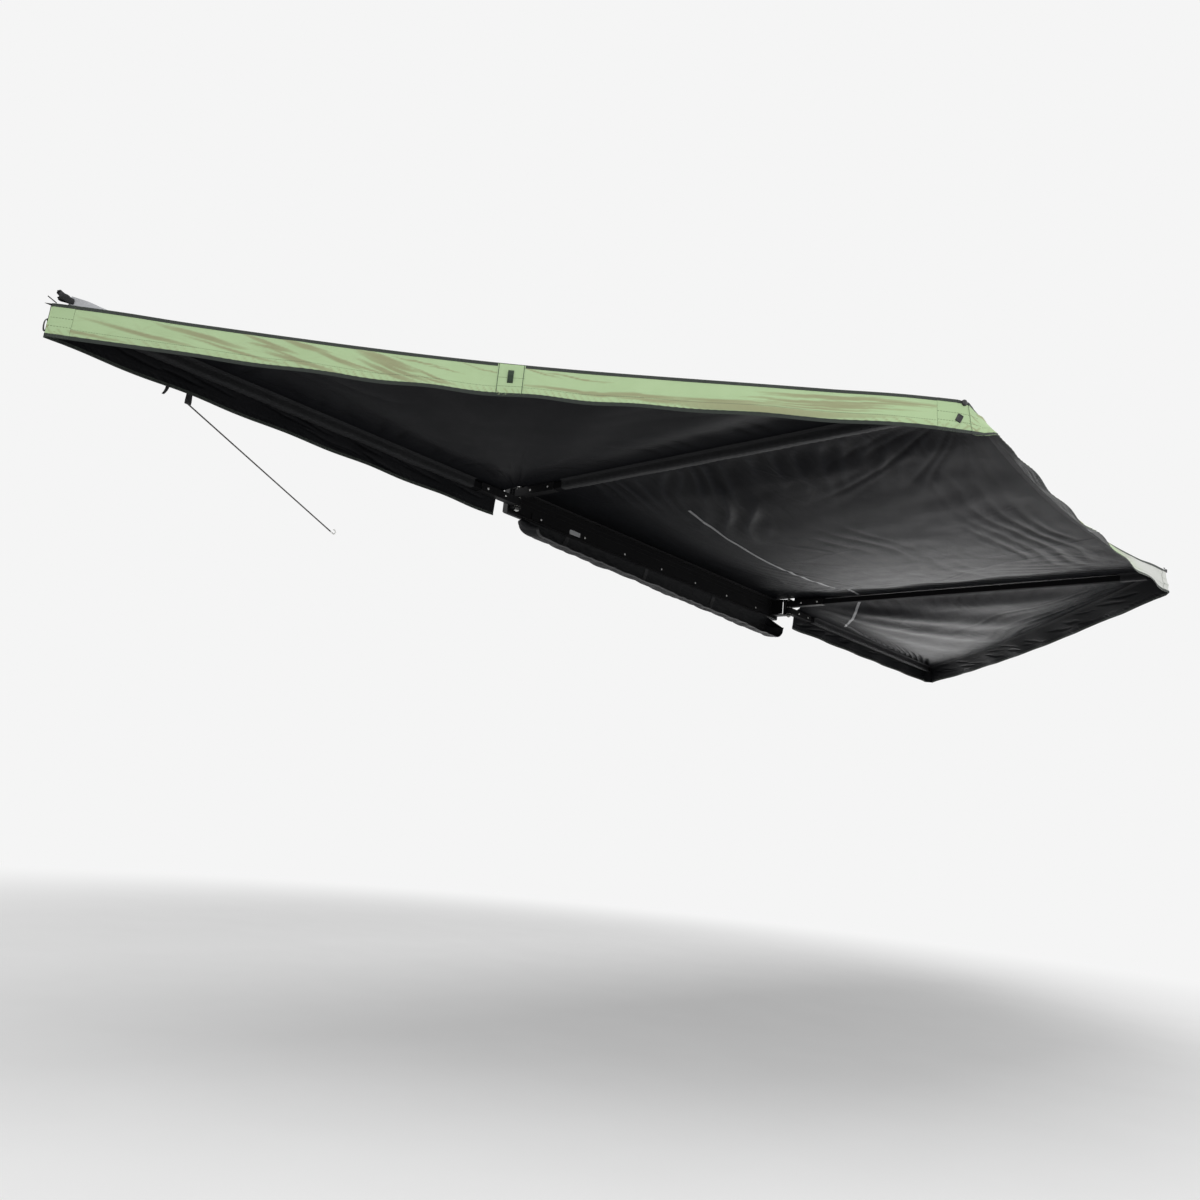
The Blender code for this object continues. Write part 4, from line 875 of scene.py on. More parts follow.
# %% [markdown]
# ## Canopy panels
#
# When one inner arm swings in on its own, its half of the middle panel goes with it, so the
# middle panel is made as two halves that meet between the arms. Real cloth crumples as the
# awning folds. Here each piece rides on whatever it stays close to: the halves on the base,
# and the wings on their inner arms.
# %% Canopy panels
def center_place(start):
    def place(u, v):
        share = start + 0.5 * u
        point = center_point(share, v)
        beside = min(share, 1.0 - share) * SPACING
        keep = edge_clearance(beside, v) * smooth((BASE_EDGE - point.y) / 0.10)
        point.z += keep * center_creases(point.xy)
        return point
    return place


def wing_place(pivot, side, creases, outer_gathers):
    def place(u, v):
        closer = 1.0 - (1.0 - u) ** WING_SPREAD
        point = wing_point(closer, v, pivot, side)
        beside = min(abs(point.x - pivot.x), abs(point.y - pivot.y))
        point.z += edge_clearance(beside, v) * creases(point.xy)
        off_sleeve = smooth((abs(point.y - pivot.y) - 0.014) / 0.040) * smooth((1.0 - v) / 0.040)
        point.z += off_sleeve * outer_gathers(point.xy)
        return point
    return place


# %% Hollows, and the four pieces
SHARPEST_HOLLOW = 0.0009


def store_hollows(obj):
    """Stores how far each corner lies above the middle of its neighbours, seen from above; this sets the
    painted shade in hollows and the painted highlight on ridges.
    """
    bm = bmesh.new()
    bm.from_mesh(obj.data)
    layer = bm.verts.layers.float.new("hollow")
    raw = {}
    for vert in bm.verts:
        around = [edge.other_vert(vert).co.z for edge in vert.link_edges if edge.calc_length() > 2 * CLOTH]
        raw[vert.index] = sum(around) / len(around) - vert.co.z if len(around) > 3 else 0.0
    for vert in bm.verts:
        near = [raw[edge.other_vert(vert).index] for edge in vert.link_edges]
        value = 0.5 * raw[vert.index] + 0.5 * sum(near) / len(near)
        vert[layer] = min(max(value / SHARPEST_HOLLOW, -1.0), 1.0)
    bm.to_mesh(obj.data)
    bm.free()


ON_TOP = (0, 0, 1)
CANOPY_LOOKS = [TOPSIDE, UNDERSIDE]
FRONT_SURFACE = wing_place(FRONT, 1, front_creases, front_outer_gathers)
REAR_SURFACE = wing_place(REAR, -1, rear_creases, no_gathers)
rear_half = cloth_grid("canopy_rear_half", center_place(0.0), 104, 190, CANOPY_LOOKS, ON_TOP)
front_half = cloth_grid("canopy_front_half", center_place(0.5), 104, 190, CANOPY_LOOKS, ON_TOP)
front_wing = cloth_grid("front_wing_cloth", FRONT_SURFACE, 230, 180, CANOPY_LOOKS, ON_TOP)
# The rear wing's underside is painted darker as shade.
rear_wing = cloth_grid("rear_wing_cloth", REAR_SURFACE, 180, 150, [TOPSIDE, TAUT_SHADED_UNDERSIDE], ON_TOP)
for panel in (rear_half, front_half, front_wing, rear_wing):
    store_hollows(panel)
    print(panel.name, 2 * len(panel.data.polygons), "triangles")

# %% The canopy's panels ride on their bodies
HALF_AXIS = Vector((0.0, 1.0, 0.02)).normalized()
BASE_ANCHOR = (0.0, BASE_EDGE, LEVEL_AT_BASE)
squashes = {
    "rear_half": ("base", "rear_inner_swing", HALF_AXIS, BASE_ANCHOR, 0.006),
    "front_half": ("base", "front_inner_swing", HALF_AXIS, BASE_ANCHOR, 0.006),
    "rear_wing": ("rear_inner_arm", "rear_outer_fold", Vector((1.0, 0.0, 0.016)).normalized(),
                  (REAR.x - 0.019, 0.0, LEVEL_UPPER), 0.012),
    "front_wing": ("front_inner_arm", "front_outer_fold", Vector((-1.0, 0.0, 0.016)).normalized(),
                   (FRONT.x + 0.019, 0.0, LEVEL_UPPER), 0.012),
    "rear_flap": ("rear_outer_arm", "rear_outer_fold", Vector((0.0, 0.0, 1.0)),
                  (0.0, 0.0, LEVEL_LOWER), 0.8),
    "front_flap": ("front_outer_arm", "front_outer_fold", Vector((0.0, 0.0, 1.0)),
                   (0.0, 0.0, LEVEL_LOWER), 0.8),
}


def fold_with(obj, group, slot, *stands_for):
    """Dresses a soft piece on the body of its group."""
    body, joint, axis, anchor, keep = squashes[group]
    dress(obj, body, slot, *stands_for)
    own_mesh(obj)
    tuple(axis)
    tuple(anchor)
    return obj


for panel, group, node in (
    (rear_half, "rear_half", "canopy_center"), (front_half, "front_half", "canopy_center"),
    (rear_wing, "rear_wing", "canopy_rear_wing"), (front_wing, "front_wing", "canopy_front_wing"),
):
    fold_with(panel, group, "canopy_cloth", node)

# %% [markdown]
# ## Where panels meet over the inner arms
#
# Over each inner arm the middle panel comes down from the base's height to the wing's. The
# step between them is closed by a narrow gusset, a wedge of the same cloth.
# %% Gussets
GUSSET_RUN, GUSSET_DEPTH = 0.390, 0.015
GUSSET_FROM_PIVOT = 0.032
TAPE_BELOW = 0.0012


def gusset_place(pivot, side):
    def place(u, v):
        y = pivot.y - GUSSET_FROM_PIVOT - GUSSET_RUN * u
        rise = rise_to_base(y) + 0.0002
        return Vector((pivot.x - side * 0.0005, y, LEVEL_UPPER - CLOTH + rise * (1.0 - v)))
    return place


for name, pivot, side in (("rear_gusset", REAR, -1), ("front_gusset", FRONT, 1)):
    gusset = cloth_grid(name, gusset_place(pivot, side), 40, 4, [UNDERSIDE, UNDERSIDE], (-side, 0, 0),
                        (GUSSET_RUN, GUSSET_DEPTH), 0.0006)
    half = "rear_half" if side < 0 else "front_half"
    fold_with(gusset, half, "canopy_cloth")


# %% Seam tapes
def tape_under(surface, find, start, end):
    """A tape glued under a panel, straight in plan; find gives the panel's own u and v."""
    start, end = Vector(start), Vector(end)
    across = Vector((start.y - end.y, end.x - start.x)).normalized()

    def place(u, v):
        at = start.lerp(end, u) + across * SEAM_WIDTH * (v - 0.5)
        return surface(*find(*at)) + Vector((0.0, 0.0, -CLOTH - TAPE_BELOW))
    return place


def half_uv(begins):
    def find(x, y):
        uv = center_uv(x, y)
        return Vector((2.0 * (uv.x - begins), uv.y))
    return find


SEAM_AT_ARM, SEAM_MIDDLE, SEAM_REAR = (1.030, -0.600), (0.0, -0.663), (-0.660, -0.702)
SEAMS = (
    ("rear_half_seam", center_place(0.0), half_uv(0.0), SEAM_REAR, SEAM_MIDDLE, "rear_half"),
    ("front_half_seam", center_place(0.5), half_uv(0.5), SEAM_MIDDLE, SEAM_AT_ARM, "front_half"),
    ("front_wing_seam", FRONT_SURFACE, lambda x, y: wing_uv(x, y, FRONT, 1), (1.095, -0.590), (1.600, -0.225),
     "front_wing"),
)
seams = {}
for name, surface, find, start, end, group in SEAMS:
    length = (Vector(end) - Vector(start)).length
    seam = cloth_grid(name, tape_under(surface, find, start, end), 110, 4, [SEAM_TAPE], (0, 0, -1),
                      (length, SEAM_WIDTH), 0.0005)
    seams[group] = fold_with(seam, group, "webbing")
    print(name, f"{length:.3f} m")

# %% The wing panels and their seam tapes
for panel, arm, tapes in (
    (rear_wing, "rear_outer_tube", []), (front_wing, "front_outer_tube", [seams["front_wing"]]),
):
    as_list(tapes)

# %% [markdown]
# ## Valances and flaps
#
# A band of green cloth hangs from the three outer hems, and a shorter one from the two edges
# that run back to the base. It is sewn on with a dark binding at its top and bottom, and a
# line of stitches across it gathers the lower third into small puckers.
# %% Sizes and leans of the bands
VALANCE_DROP = 0.106
FLAP_DROP = 0.100
STITCH_DEPTH = 0.72
CREASE_STEEP = 0.42
PUCKER_PITCH, PUCKER_HEIGHT = 0.026, 0.0026
WAVE, DRAPE, UNEVEN = 0.006, 0.0035, 0.0018
HEM_TRIM, FLAP_TRIM = 0.010, 0.005

STRAIGHT_DOWN = ((0.0, 0), (1.0, 0))
CENTER_LEANS = ((0.0, 5), (0.05, 33), (0.12, 45), (0.30, 48), (0.55, 48), (0.80, 28), (1.0, 4))
FRONT_LEANS = ((0.0, 4), (0.15, 30), (0.85, 32), (1.0, 10))


def lean_at(leans, along):
    """Angle of a band from straight down, in radians, eased between the places given."""
    for (start, low), (end, high) in zip(leans, leans[1:]):
        if along <= end:
            return math.radians(low + (high - low) * smooth((along - start) / (end - start)))
    return math.radians(leans[-1][1])


# %% Creases and puckers on a band
def draw_creases(seed, zones):
    """Long flat creases: each a start, a depth, a length, a width and a slope."""
    draw = random.Random(seed)
    creases = []
    for start, end, count, depths, lengths, widths, slope in zones:
        for _ in range(count):
            run = draw.uniform(start, end)
            creases.append((run, draw.uniform(*depths), draw.uniform(*lengths), draw.uniform(*widths),
                            slope * draw.uniform(0.4, 1.5)))
    return creases


def crease_at(creases, run, low):
    """Height and painted shade of the creases at a place on the cloth.

    Above its ridge a crease swells out slowly, and below it the cloth falls back at once; the painted shade
    lies on that falling face.
    """
    height = shade = 0.0
    for start, top, length, width, slope in creases:
        t = (run - start) / length
        if not 0.0 < t < 1.0:
            continue
        swell = math.sin(math.pi * t) ** 0.6
        bend = 0.004 * wander(run * 9.0, top * 60.0, 3) + 0.002 * wander(run * 24.0, top * 60.0, 4)
        across = (low - top - slope * (run - start) - bend) / (width * swell + 0.0008)
        tall = swell * width * CREASE_STEEP
        if across <= 0.0:
            height = max(height, tall * math.exp(2.5 * across))
        elif across < 1.0:
            height = max(height, tall * (1.0 - across))
            shade = max(shade, swell * smooth(across / 0.15) * smooth((1.0 - across) / 0.25))
    return height, shade


def pucker_at(run, low, drop, seed):
    """Small slanted puckers between the line of stitches and the hem: height and painted shade."""
    depth = low / drop
    window = smooth((depth - STITCH_DEPTH) / 0.05) * smooth((1.0 - depth) / 0.06)
    if window <= 0.0:
        return 0.0, 0.0
    wave = crest((run + 0.9 * low) / PUCKER_PITCH + 1.3 * wander(run * 9.0, 1.0, seed + 2))
    strength = 0.45 + 0.9 * abs(wander(run * 5.0, 4.0, seed + 8))
    return PUCKER_HEIGHT * window * strength * wave, 0.75 * window * strength * smooth((wave - 0.45) / 0.4)


# %% Shape of a hanging band
def hanging_band(edge, outward, drop, length, waves, seed, creases, leans=STRAIGHT_DOWN):
    """Returns place(along, depth, proud): proud moves the point out from the band's back."""
    def place(along, depth, proud=0.0):
        run = along * length
        low = depth * drop
        wave = WAVE * depth * (1.0 + math.sin(math.tau * waves * along))
        free = smooth(depth / 0.20) * smooth((1.0 - depth) / 0.08)
        fold = free * crease_at(creases, run, low)[0]
        drape = DRAPE * depth * wander(run * 3.0, depth * 0.8, seed + 1)
        pucker = pucker_at(run, low, drop, seed)[0]
        away = 0.0012 + max(wave + fold + drape + pucker, -0.0060 * depth) + proud
        down = depth * (drop - UNEVEN * wander(run * 5.0, 2.0, seed + 4))
        lean = lean_at(leans, along)
        out = away * math.cos(lean) + down * math.sin(lean)
        rise = away * math.sin(lean) - down * math.cos(lean)
        return edge(along) + Vector(outward) * out + Vector((0.0, 0.0, rise))
    return place


def center_edge(along):
    trim = HEM_TRIM / SPACING
    return center_point(trim + (1.0 - 2.0 * trim) * along, 1.0)


def wing_edge(pivot, side):
    def edge(along):
        trim = HEM_TRIM / HEM_REACH
        return wing_point(trim + (1.0 - 2.0 * trim) * along, 1.0, pivot, side)
    return edge


def flap_edge(pivot, side):
    def edge(along):
        return wing_point(1.0, FLAP_TRIM + (1.0 - 3.0 * FLAP_TRIM) * along, pivot, side)
    return edge


def part_of(place, start, end):
    """The same band between two places along it, as a place of its own."""
    return lambda u, v, proud=0.0: place(start + (end - start) * u, v, proud)


# %% The six bands
OUT = Vector((0.0, -1.0, 0.0))
REAR_OUT = Vector((-1.0, -1.0, 0.0)).normalized()
FRONT_OUT = Vector((1.0, -1.0, 0.0)).normalized()
IN = Vector((0.0, 1.0, 0.0))
WING_HEM = math.sqrt(2.0) * HEM_REACH
FLAP_LENGTH = 0.985 * (HEM_REACH - WING_START)


def few(length):
    """One zone of creases: start, end, how many, depths, lengths, widths and slope."""
    return ((0.0, 0.95 * length, int(9 * length), (0.015, 0.085), (0.12, 0.30), (0.006, 0.015), -0.12),)


REAR_WING_ZONES = (
    (0.00, 0.16, 9, (0.016, 0.080), (0.25, 0.50), (0.006, 0.013), 0.02),
    (0.05, 0.20, 2, (0.074, 0.076), (0.60, 0.80), (0.024, 0.026), 0.0),
    (0.20, 1.00, 8, (0.060, 0.076), (0.25, 0.50), (0.008, 0.016), 0.0),
    (0.90, 1.80, 5, (0.020, 0.070), (0.15, 0.30), (0.003, 0.006), -0.12),
    (1.55, 2.60, 20, (0.030, 0.100), (0.14, 0.32), (0.007, 0.018), -0.20),
)
# By CAD node: edge, outward, drop, length, waves, seed, seed and zones of creases, leans.
EDGES = {
    "valance_center": (center_edge, OUT, VALANCE_DROP, SPACING, 6, 31, 31, few(SPACING), CENTER_LEANS),
    "valance_rear": (
        wing_edge(REAR, -1), REAR_OUT, VALANCE_DROP, WING_HEM, 7, 41, 44, REAR_WING_ZONES, STRAIGHT_DOWN),
    "valance_front": (
        wing_edge(FRONT, 1), FRONT_OUT, VALANCE_DROP, WING_HEM, 7, 51, 51, few(WING_HEM), FRONT_LEANS),
    "flap_rear": (
        flap_edge(REAR, -1), IN, FLAP_DROP, FLAP_LENGTH, 5, 61, 61, few(FLAP_LENGTH), STRAIGHT_DOWN),
    "flap_front": (
        flap_edge(FRONT, 1), IN, FLAP_DROP, FLAP_LENGTH, 5, 71, 71, few(FLAP_LENGTH), STRAIGHT_DOWN),
}
Band = namedtuple("Band", "place outward drop length seed creases begins group node panel")
bands = {}
for name, node, start, end, group, panel in (
    ("valance_rear_half", "valance_center", 0.0, 0.5, "rear_half", rear_half),
    ("valance_front_half", "valance_center", 0.5, 1.0, "front_half", front_half),
    ("valance_rear_wing", "valance_rear", 0.0, 1.0, "rear_wing", rear_wing),
    ("valance_front_wing", "valance_front", 0.0, 1.0, "front_wing", front_wing),
    ("side_flap_rear", "flap_rear", 0.0, 1.0, "rear_flap", rear_wing),
    ("side_flap_front", "flap_front", 0.0, 1.0, "front_flap", front_wing),
):
    edge, outward, drop, length, waves, seed, crease_seed, zones, leans = EDGES[node]
    creases = draw_creases(crease_seed, zones)
    place = part_of(hanging_band(edge, outward, drop, length, waves, seed, creases, leans), start, end)
    bands[name] = Band(place, outward, drop, (end - start) * length, seed, creases, start * length,
                       group, node, panel)
    print(name, f"{bands[name].length:.3f} m long, {len(creases)} creases drawn")

# %% Painted shade of the creases, and where the cloth turns pale grey
# How far a band turns pale grey: towards the front inner corner, and all over that corner's patch.
def pale_share_at(name, run):
    if name == "valance_front_half":
        return smooth((run - 0.25) / 0.55)
    if name == "valance_front_wing":
        return 1.0 - smooth((run - 0.10) / 0.60)
    return 1.0 if name == "corner_front_inner" else 0.0


def paint_fold_shade(obj, creases, begins=0.0, drop=VALANCE_DROP, seed=41):
    """Stores the painted shade of the creases and how far the cloth turns pale grey, at each corner of a
    band.
    """
    mesh = obj.data
    shades = mesh.attributes.new("fold_tint", "FLOAT", "POINT").data
    faded = mesh.attributes.new("faded", "FLOAT", "POINT").data
    places = {loop.vertex_index: uv.uv for loop, uv in zip(mesh.loops, mesh.uv_layers["cloth"].data)}
    for index, (run, low) in places.items():
        creased = crease_at(creases, begins + run, low)[1]
        puckered = pucker_at(begins + run, low, drop, seed)[1]
        shades[index].value = 0.80 * max(creased, puckered)
        faded[index].value = pale_share_at(obj.name, run)


# %% The bands and their bindings
BAND_LOOKS = [GREEN, VALANCE_BACK]
BAND_COLUMN = 0.0058
TAPE_PROUD = 0.0007


def binding_place(place, drop):
    """A tape over the band's lower edge: down its front, round the edge and up its back."""
    width = BINDING_WIDTH / drop
    def tape(u, v):
        around = 2.0 * v - 1.0
        beyond = -TAPE_PROUD * (1.0 - abs(around))
        side = math.copysign(smooth(abs(around) / 0.12), around)
        proud = CLOTH / 2 + side * (CLOTH / 2 + TAPE_PROUD)
        return place(u, 1.0 - width * abs(around), proud) + Vector((0.0, 0.0, beyond))
    return tape


def joint_place(place, outward):
    """A tape under the joint of hem and band: from the panel's underside to the band's back."""
    def tape(u, v):
        corner = place(u, 0.0, -0.0012)
        if v < 0.5:
            return corner - Vector(outward) * 0.010 * (1.0 - 2.0 * v) - Vector((0.0, 0.0, 0.0026))
        return place(u, 0.075 * (2.0 * v - 1.0) + 0.026, -0.0010)
    return tape


for name, band in bands.items():
    place, columns = band.place, int(band.length / BAND_COLUMN)
    cloth = cloth_grid(name, lambda u, v: place(u, v, CLOTH), columns, 40, BAND_LOOKS, band.outward,
                       (band.length, band.drop))
    paint_fold_shade(cloth, band.creases, band.begins, band.drop, band.seed)
    fold_with(cloth, band.group, "valance_cloth", band.node)
    tapes = [
        cloth_grid(name + "_" + kind, shape, columns, rows, [looks], toward, (band.length, width), thickness)
        for kind, shape, rows, looks, toward, width, thickness in (
            ("binding", binding_place(place, band.drop), 8, BINDING, band.outward, BINDING_WIDTH * 2, 0.0005),
            ("head_tape", lambda u, v: place(u, 0.10 * v, CLOTH + 0.0009), 3, BINDING, band.outward,
             BINDING_WIDTH, 0.0006),
            ("joint_tape", joint_place(place, band.outward), 4, BLACK_CANVAS, (0, 0, -1), 0.015, 0.0005),
        )
    ]
    for tape in tapes:
        fold_with(tape, band.group, "webbing")
    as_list(tapes)
print("bands made", len(bands))

# %% [markdown]
# ## Corners
#
# Two bands meet at every corner of the canopy. There a doubled patch of the same cloth goes
# round the end of the arm, sewn down along its edges, with its own dark binding below. The
# patch rides on the arm.
# %% Corner patches
# The patch's last colour is the painted shade in its folds.
PATCH = cloth_material(
    "corner_patch", (0.345, 0.470, 0.255), (0.395, 0.525, 0.305), 0.82, 0.0012,
    fold_tint=(0.235, 0.222, 0.118))
sew(PATCH, (0.09, 0.12, 0.06), 0.058, 0.014, 0.0055, 0.0008)
ROUND_CORNER = 0.004
CORNER_REACH = 0.046
CORNER_CREASES = ((0.0, 0.1, 3, (0.02, 0.08), (0.03, 0.07), (0.004, 0.008), 0.4),)


def corner_place(first, second, proud):
    """Goes round a corner from one band to the next; each band comes with the end in use."""
    def at(name, end, distance, v):
        along = distance / bands[name].length
        return bands[name].place(along if end == 0 else 1.0 - along, v, CLOTH + proud)

    def patch(u, v):
        stations = [at(*first, CORNER_REACH, v), at(*first, ROUND_CORNER, v),
                    at(*second, ROUND_CORNER, v), at(*second, CORNER_REACH, v)]
        scaled = 3.0 * u
        index = min(int(scaled), 2)
        return stations[index].lerp(stations[index + 1], scaled - index)
    return patch


# %% A corner with its hems
def corner(name, first, second, body, toward):
    place = corner_place(first, second, 0.0010)
    across = [place(step / 3, 0.5) for step in range(4)]
    width = sum((b - a).length for a, b in zip(across, across[1:]))
    patch = cloth_grid(name, place, 54, 30, [PATCH, VALANCE_BACK], toward, (0.12, VALANCE_DROP))
    paint_fold_shade(patch, draw_creases(len(name), CORNER_CREASES))
    dress(patch, body, "valance_cloth")
    hem = corner_place(first, second, 0.0021)
    share = BINDING_WIDTH / VALANCE_DROP
    tapes = []
    for kind, shape in (("_binding", lambda u, v: hem(u, 1.002 - share * v)),
                        ("_head_tape", lambda u, v: hem(u, share * v))):
        tapes.append(cloth_grid(name + kind, shape, 54, 3, [BINDING], toward, (0.12, BINDING_WIDTH), 0.0006))
        dress(tapes[-1], body, "webbing")
    print(name, f"{width:.3f} m wide")


# Each corner: the two bands and the end of each that meets there, its body and its direction.
CORNERS = {
    "corner_rear_inner": (
        ("valance_rear_wing", 0), ("valance_rear_half", 0), "rear_inner_arm", (-0.5, -1, 0)),
    "corner_front_inner": (
        ("valance_front_half", 1), ("valance_front_wing", 0), "front_inner_arm", (0.5, -1, 0)),
    "corner_rear_outer": (
        ("valance_rear_wing", 1), ("side_flap_rear", 1), "rear_outer_arm", (-1, 0, 0)),
    "corner_front_outer": (
        ("side_flap_front", 1), ("valance_front_wing", 1), "front_outer_arm", (1, 0, 0)),
}
for name, facts in CORNERS.items():
    corner(name, *facts)

# %% [markdown]
# ## The patch in the middle of the rear valance
#
# Halfway along the rear valance a square patch carries a dark green webbing loop, to which a
# wall or a guy cord can be tied. The patch is a second layer of cloth, sewn down at its sides.
# %% Middle patch and its loop
PATCH_WIDTH = 0.105
LOOP_WIDTH, LOOP_HEIGHT, LOOP_LIFT = 0.022, 0.042, 0.007


def on_middle(across, depth, proud):
    """A place on the rear valance, across metres beyond its middle."""
    band = bands["valance_rear_wing"]
    return band.place(0.5 + across / band.length, depth, CLOTH + proud)


def middle_patch(u, v):
    return on_middle((u - 0.5) * PATCH_WIDTH, 0.02 + 0.96 * v, 0.0011)


def tie_loop(u, v):
    """A short strap that leaves the cloth, arches over and comes back to it."""
    depth = 0.40 + (v - 0.5) * LOOP_HEIGHT / VALANCE_DROP
    return on_middle((u - 0.5) * LOOP_WIDTH, depth, 0.0016 + LOOP_LIFT * math.sin(math.pi * v) ** 0.5)


square = cloth_grid("middle_patch", middle_patch, 30, 30, [PATCH, VALANCE_BACK], REAR_OUT,
                    (PATCH_WIDTH, 0.102))
paint_fold_shade(square, [])
fold_with(square, "rear_wing", "valance_cloth")
stitched = []
for end, name in ((0.04, "middle_patch_seam_right"), (0.96, "middle_patch_seam_left")):
    def seam(u, v):
        return on_middle((end - 0.5 + 0.02 * (u - 0.5)) * PATCH_WIDTH, 0.02 + 0.96 * v, 0.0019)
    stitched.append(cloth_grid(name, seam, 2, 40, [DARK_GREEN], REAR_OUT, (0.002, 0.1), 0.0006))
stitched.append(cloth_grid("tie_loop", tie_loop, 6, 24, [DARK_GREEN], REAR_OUT, (0.020, 0.05), 0.0014))
for piece in stitched:
    fold_with(piece, "rear_wing", "webbing")


# %% [markdown]
# ## Small pieces at the corners
#
# A turned knob and a moulded buckle sit on the rear inner corner, with straps and pins at the
# others. Each is made by the tool that makes the real one's shape: a spun profile for the
# knob, a bevelled block for the buckle, and short grids or wires for straps and pins.
# %% A turned knob
def button(name, center, axis, radius, height, material):
    """A turned knob: a profile spun round its axis."""
    bm = bmesh.new()
    profile = [(0.0, 1.0), (0.55, 1.0), (0.85, 0.86), (1.0, 0.55), (0.96, 0.2), (0.7, 0.0), (0.0, 0.0)]
    verts = [bm.verts.new((radius * r, 0.0, height * z)) for r, z in profile]
    edges = [bm.edges.new(pair) for pair in zip(verts, verts[1:])]
    bmesh.ops.spin(bm, geom=verts + edges, cent=(0, 0, 0), axis=(0, 0, 1), angle=math.tau, steps=32,
                   use_merge=True)
    bmesh.ops.remove_doubles(bm, verts=bm.verts, dist=1e-6)
    turn = Vector(axis).to_track_quat("Z", "Y").to_matrix()
    for vert in bm.verts:
        vert.co = turn @ vert.co + Vector(center)
    bmesh.ops.recalc_face_normals(bm, faces=bm.faces)
    for face in bm.faces:
        face.smooth = True
    obj = link_mesh(name, bm, [material])
    obj.data.set_sharp_from_angle(angle=math.radians(40))
    return obj


# %% Knob and buckle
def corner_point(name, u, v, proud):
    return corner_place(*CORNERS[name][:2], proud)(u, v)


def bevelled_block(size, edge, segments):
    """A block about the origin with rounded edges."""
    bm = bmesh.new()
    bmesh.ops.create_cube(bm, size=1.0)
    bmesh.ops.scale(bm, vec=size, verts=bm.verts)
    bmesh.ops.bevel(bm, geom=bm.edges, offset=edge, segments=segments, profile=0.5, affect="EDGES",
                    material=-1)
    return bm


knob_place = corner_point("corner_rear_inner", 0.50, 0.06, 0.0005)
knob = button("corner_knob", knob_place, (-0.4, -1, 0), 0.010, 0.010, BLACK_PLASTIC)
dress(knob, "rear_inner_arm", "black_plastic")
buckle_bm = bevelled_block((0.019, 0.006, 0.026), 0.0022, 3)
front_faces = [f for f in buckle_bm.faces if f.normal.y < -0.99 and f.calc_area() > 1e-4]
bmesh.ops.inset_individual(buckle_bm, faces=front_faces, thickness=0.0035, depth=-0.0015)
buckle_place = corner_point("corner_rear_inner", 0.36, 0.58, 0.003)
turn = Quaternion((0, 0, 1), math.radians(-38)) @ Quaternion((0, 1, 0), math.radians(25))
for vert in buckle_bm.verts:
    vert.co = turn @ vert.co + buckle_place
buckle = link_mesh("corner_buckle", buckle_bm, [BLACK_PLASTIC])
dress(buckle, "rear_inner_arm", "black_plastic")


# %% A loop and a loose tab
def tip_loop(u, v):
    """A small black loop that stands out from the rear corner's end."""
    angle = math.tau * v
    middle = corner_point("corner_rear_outer", 0.5, 0.66, 0.0012)
    return middle + Vector((-0.0055 - 0.0045 * math.cos(angle), (u - 0.5) * 0.010, 0.018 * math.sin(angle)))


strap = cloth_grid("corner_loop", tip_loop, 4, 40, [STRAP], (0, 0, 1), (0.010, 0.09), 0.0012)
dress(strap, "rear_outer_arm", "webbing")


def hanging_tab(u, v):
    """A loose end of webbing under the rear flap's hem."""
    flap = bands["side_flap_rear"]
    top = flap.place(0.79 + (u - 0.5) * 0.012 / flap.length, 0.97, -0.001)
    sway = 0.010 * v * v
    return top + Vector((-sway * 1.2 + 0.004 * (u - 0.5) * v, -sway * 0.3, -0.034 * v))


loose = cloth_grid("loose_tab", hanging_tab, 4, 16, [STRAP], (0, -1, 0), (0.012, 0.034), 0.0012)
fold_with(loose, "rear_flap", "webbing")


# %% The reinforced corner and its frayed roll
def tip_edge(run):
    """Top of the rear valance's face, a run away from the rear corner."""
    band = bands["valance_rear_wing"]
    return band.place(1.0 - max(run, 0.004) / band.length, 0.0, CLOTH)


def wedge_place(u, v):
    """A reinforced corner of the canopy that stands up behind the valance's edge."""
    height = 0.034 * (1.0 - u) ** 1.3 + 0.001
    point = tip_edge(0.030 + 0.100 * u)
    sway = 0.004 * math.sin(7.0 * u + 2.0) * v
    return point + Vector((0.004 * v + sway, 0.006 * v + sway, (height + 0.0015) * v - 0.0015))


MESH_GREY = cloth_material("mesh_grey", (0.300, 0.305, 0.320), (0.52, 0.53, 0.55), 0.8, 0.0030)
wedge = cloth_grid("corner_reinforcement", wedge_place, 30, 12, [MESH_GREY, BLACK_CANVAS], REAR_OUT,
                   (0.10, 0.036), 0.0012)
dress(wedge, "rear_outer_arm", "canopy_cloth")


def curl_place(u, v):
    """The frayed end of the corner's rope channel: a short open roll of black cloth."""
    angle = math.radians(-60.0 + 300.0 * u)
    radius = 0.0105 + 0.0035 * wander(u * 5.0, v * 2.0, 97)
    length = 0.042 + 0.010 * wander(u * 9.0, 3.0, 98)
    point = tip_edge(0.034) + Vector((0.0, 0.002, 0.013))
    rise = radius * math.sin(angle) * (1.0 + 0.4 * v) + 0.0048 * v
    return point + Vector((-length * v + 0.006, -radius * math.cos(angle), rise))


curl = cloth_grid("frayed_roll", curl_place, 30, 14, [BLACK_CANVAS, BLACK_CANVAS], (0, -1, 0.5),
                  (0.05, 0.045), 0.0012)
dress(curl, "rear_outer_arm", "canopy_cloth")

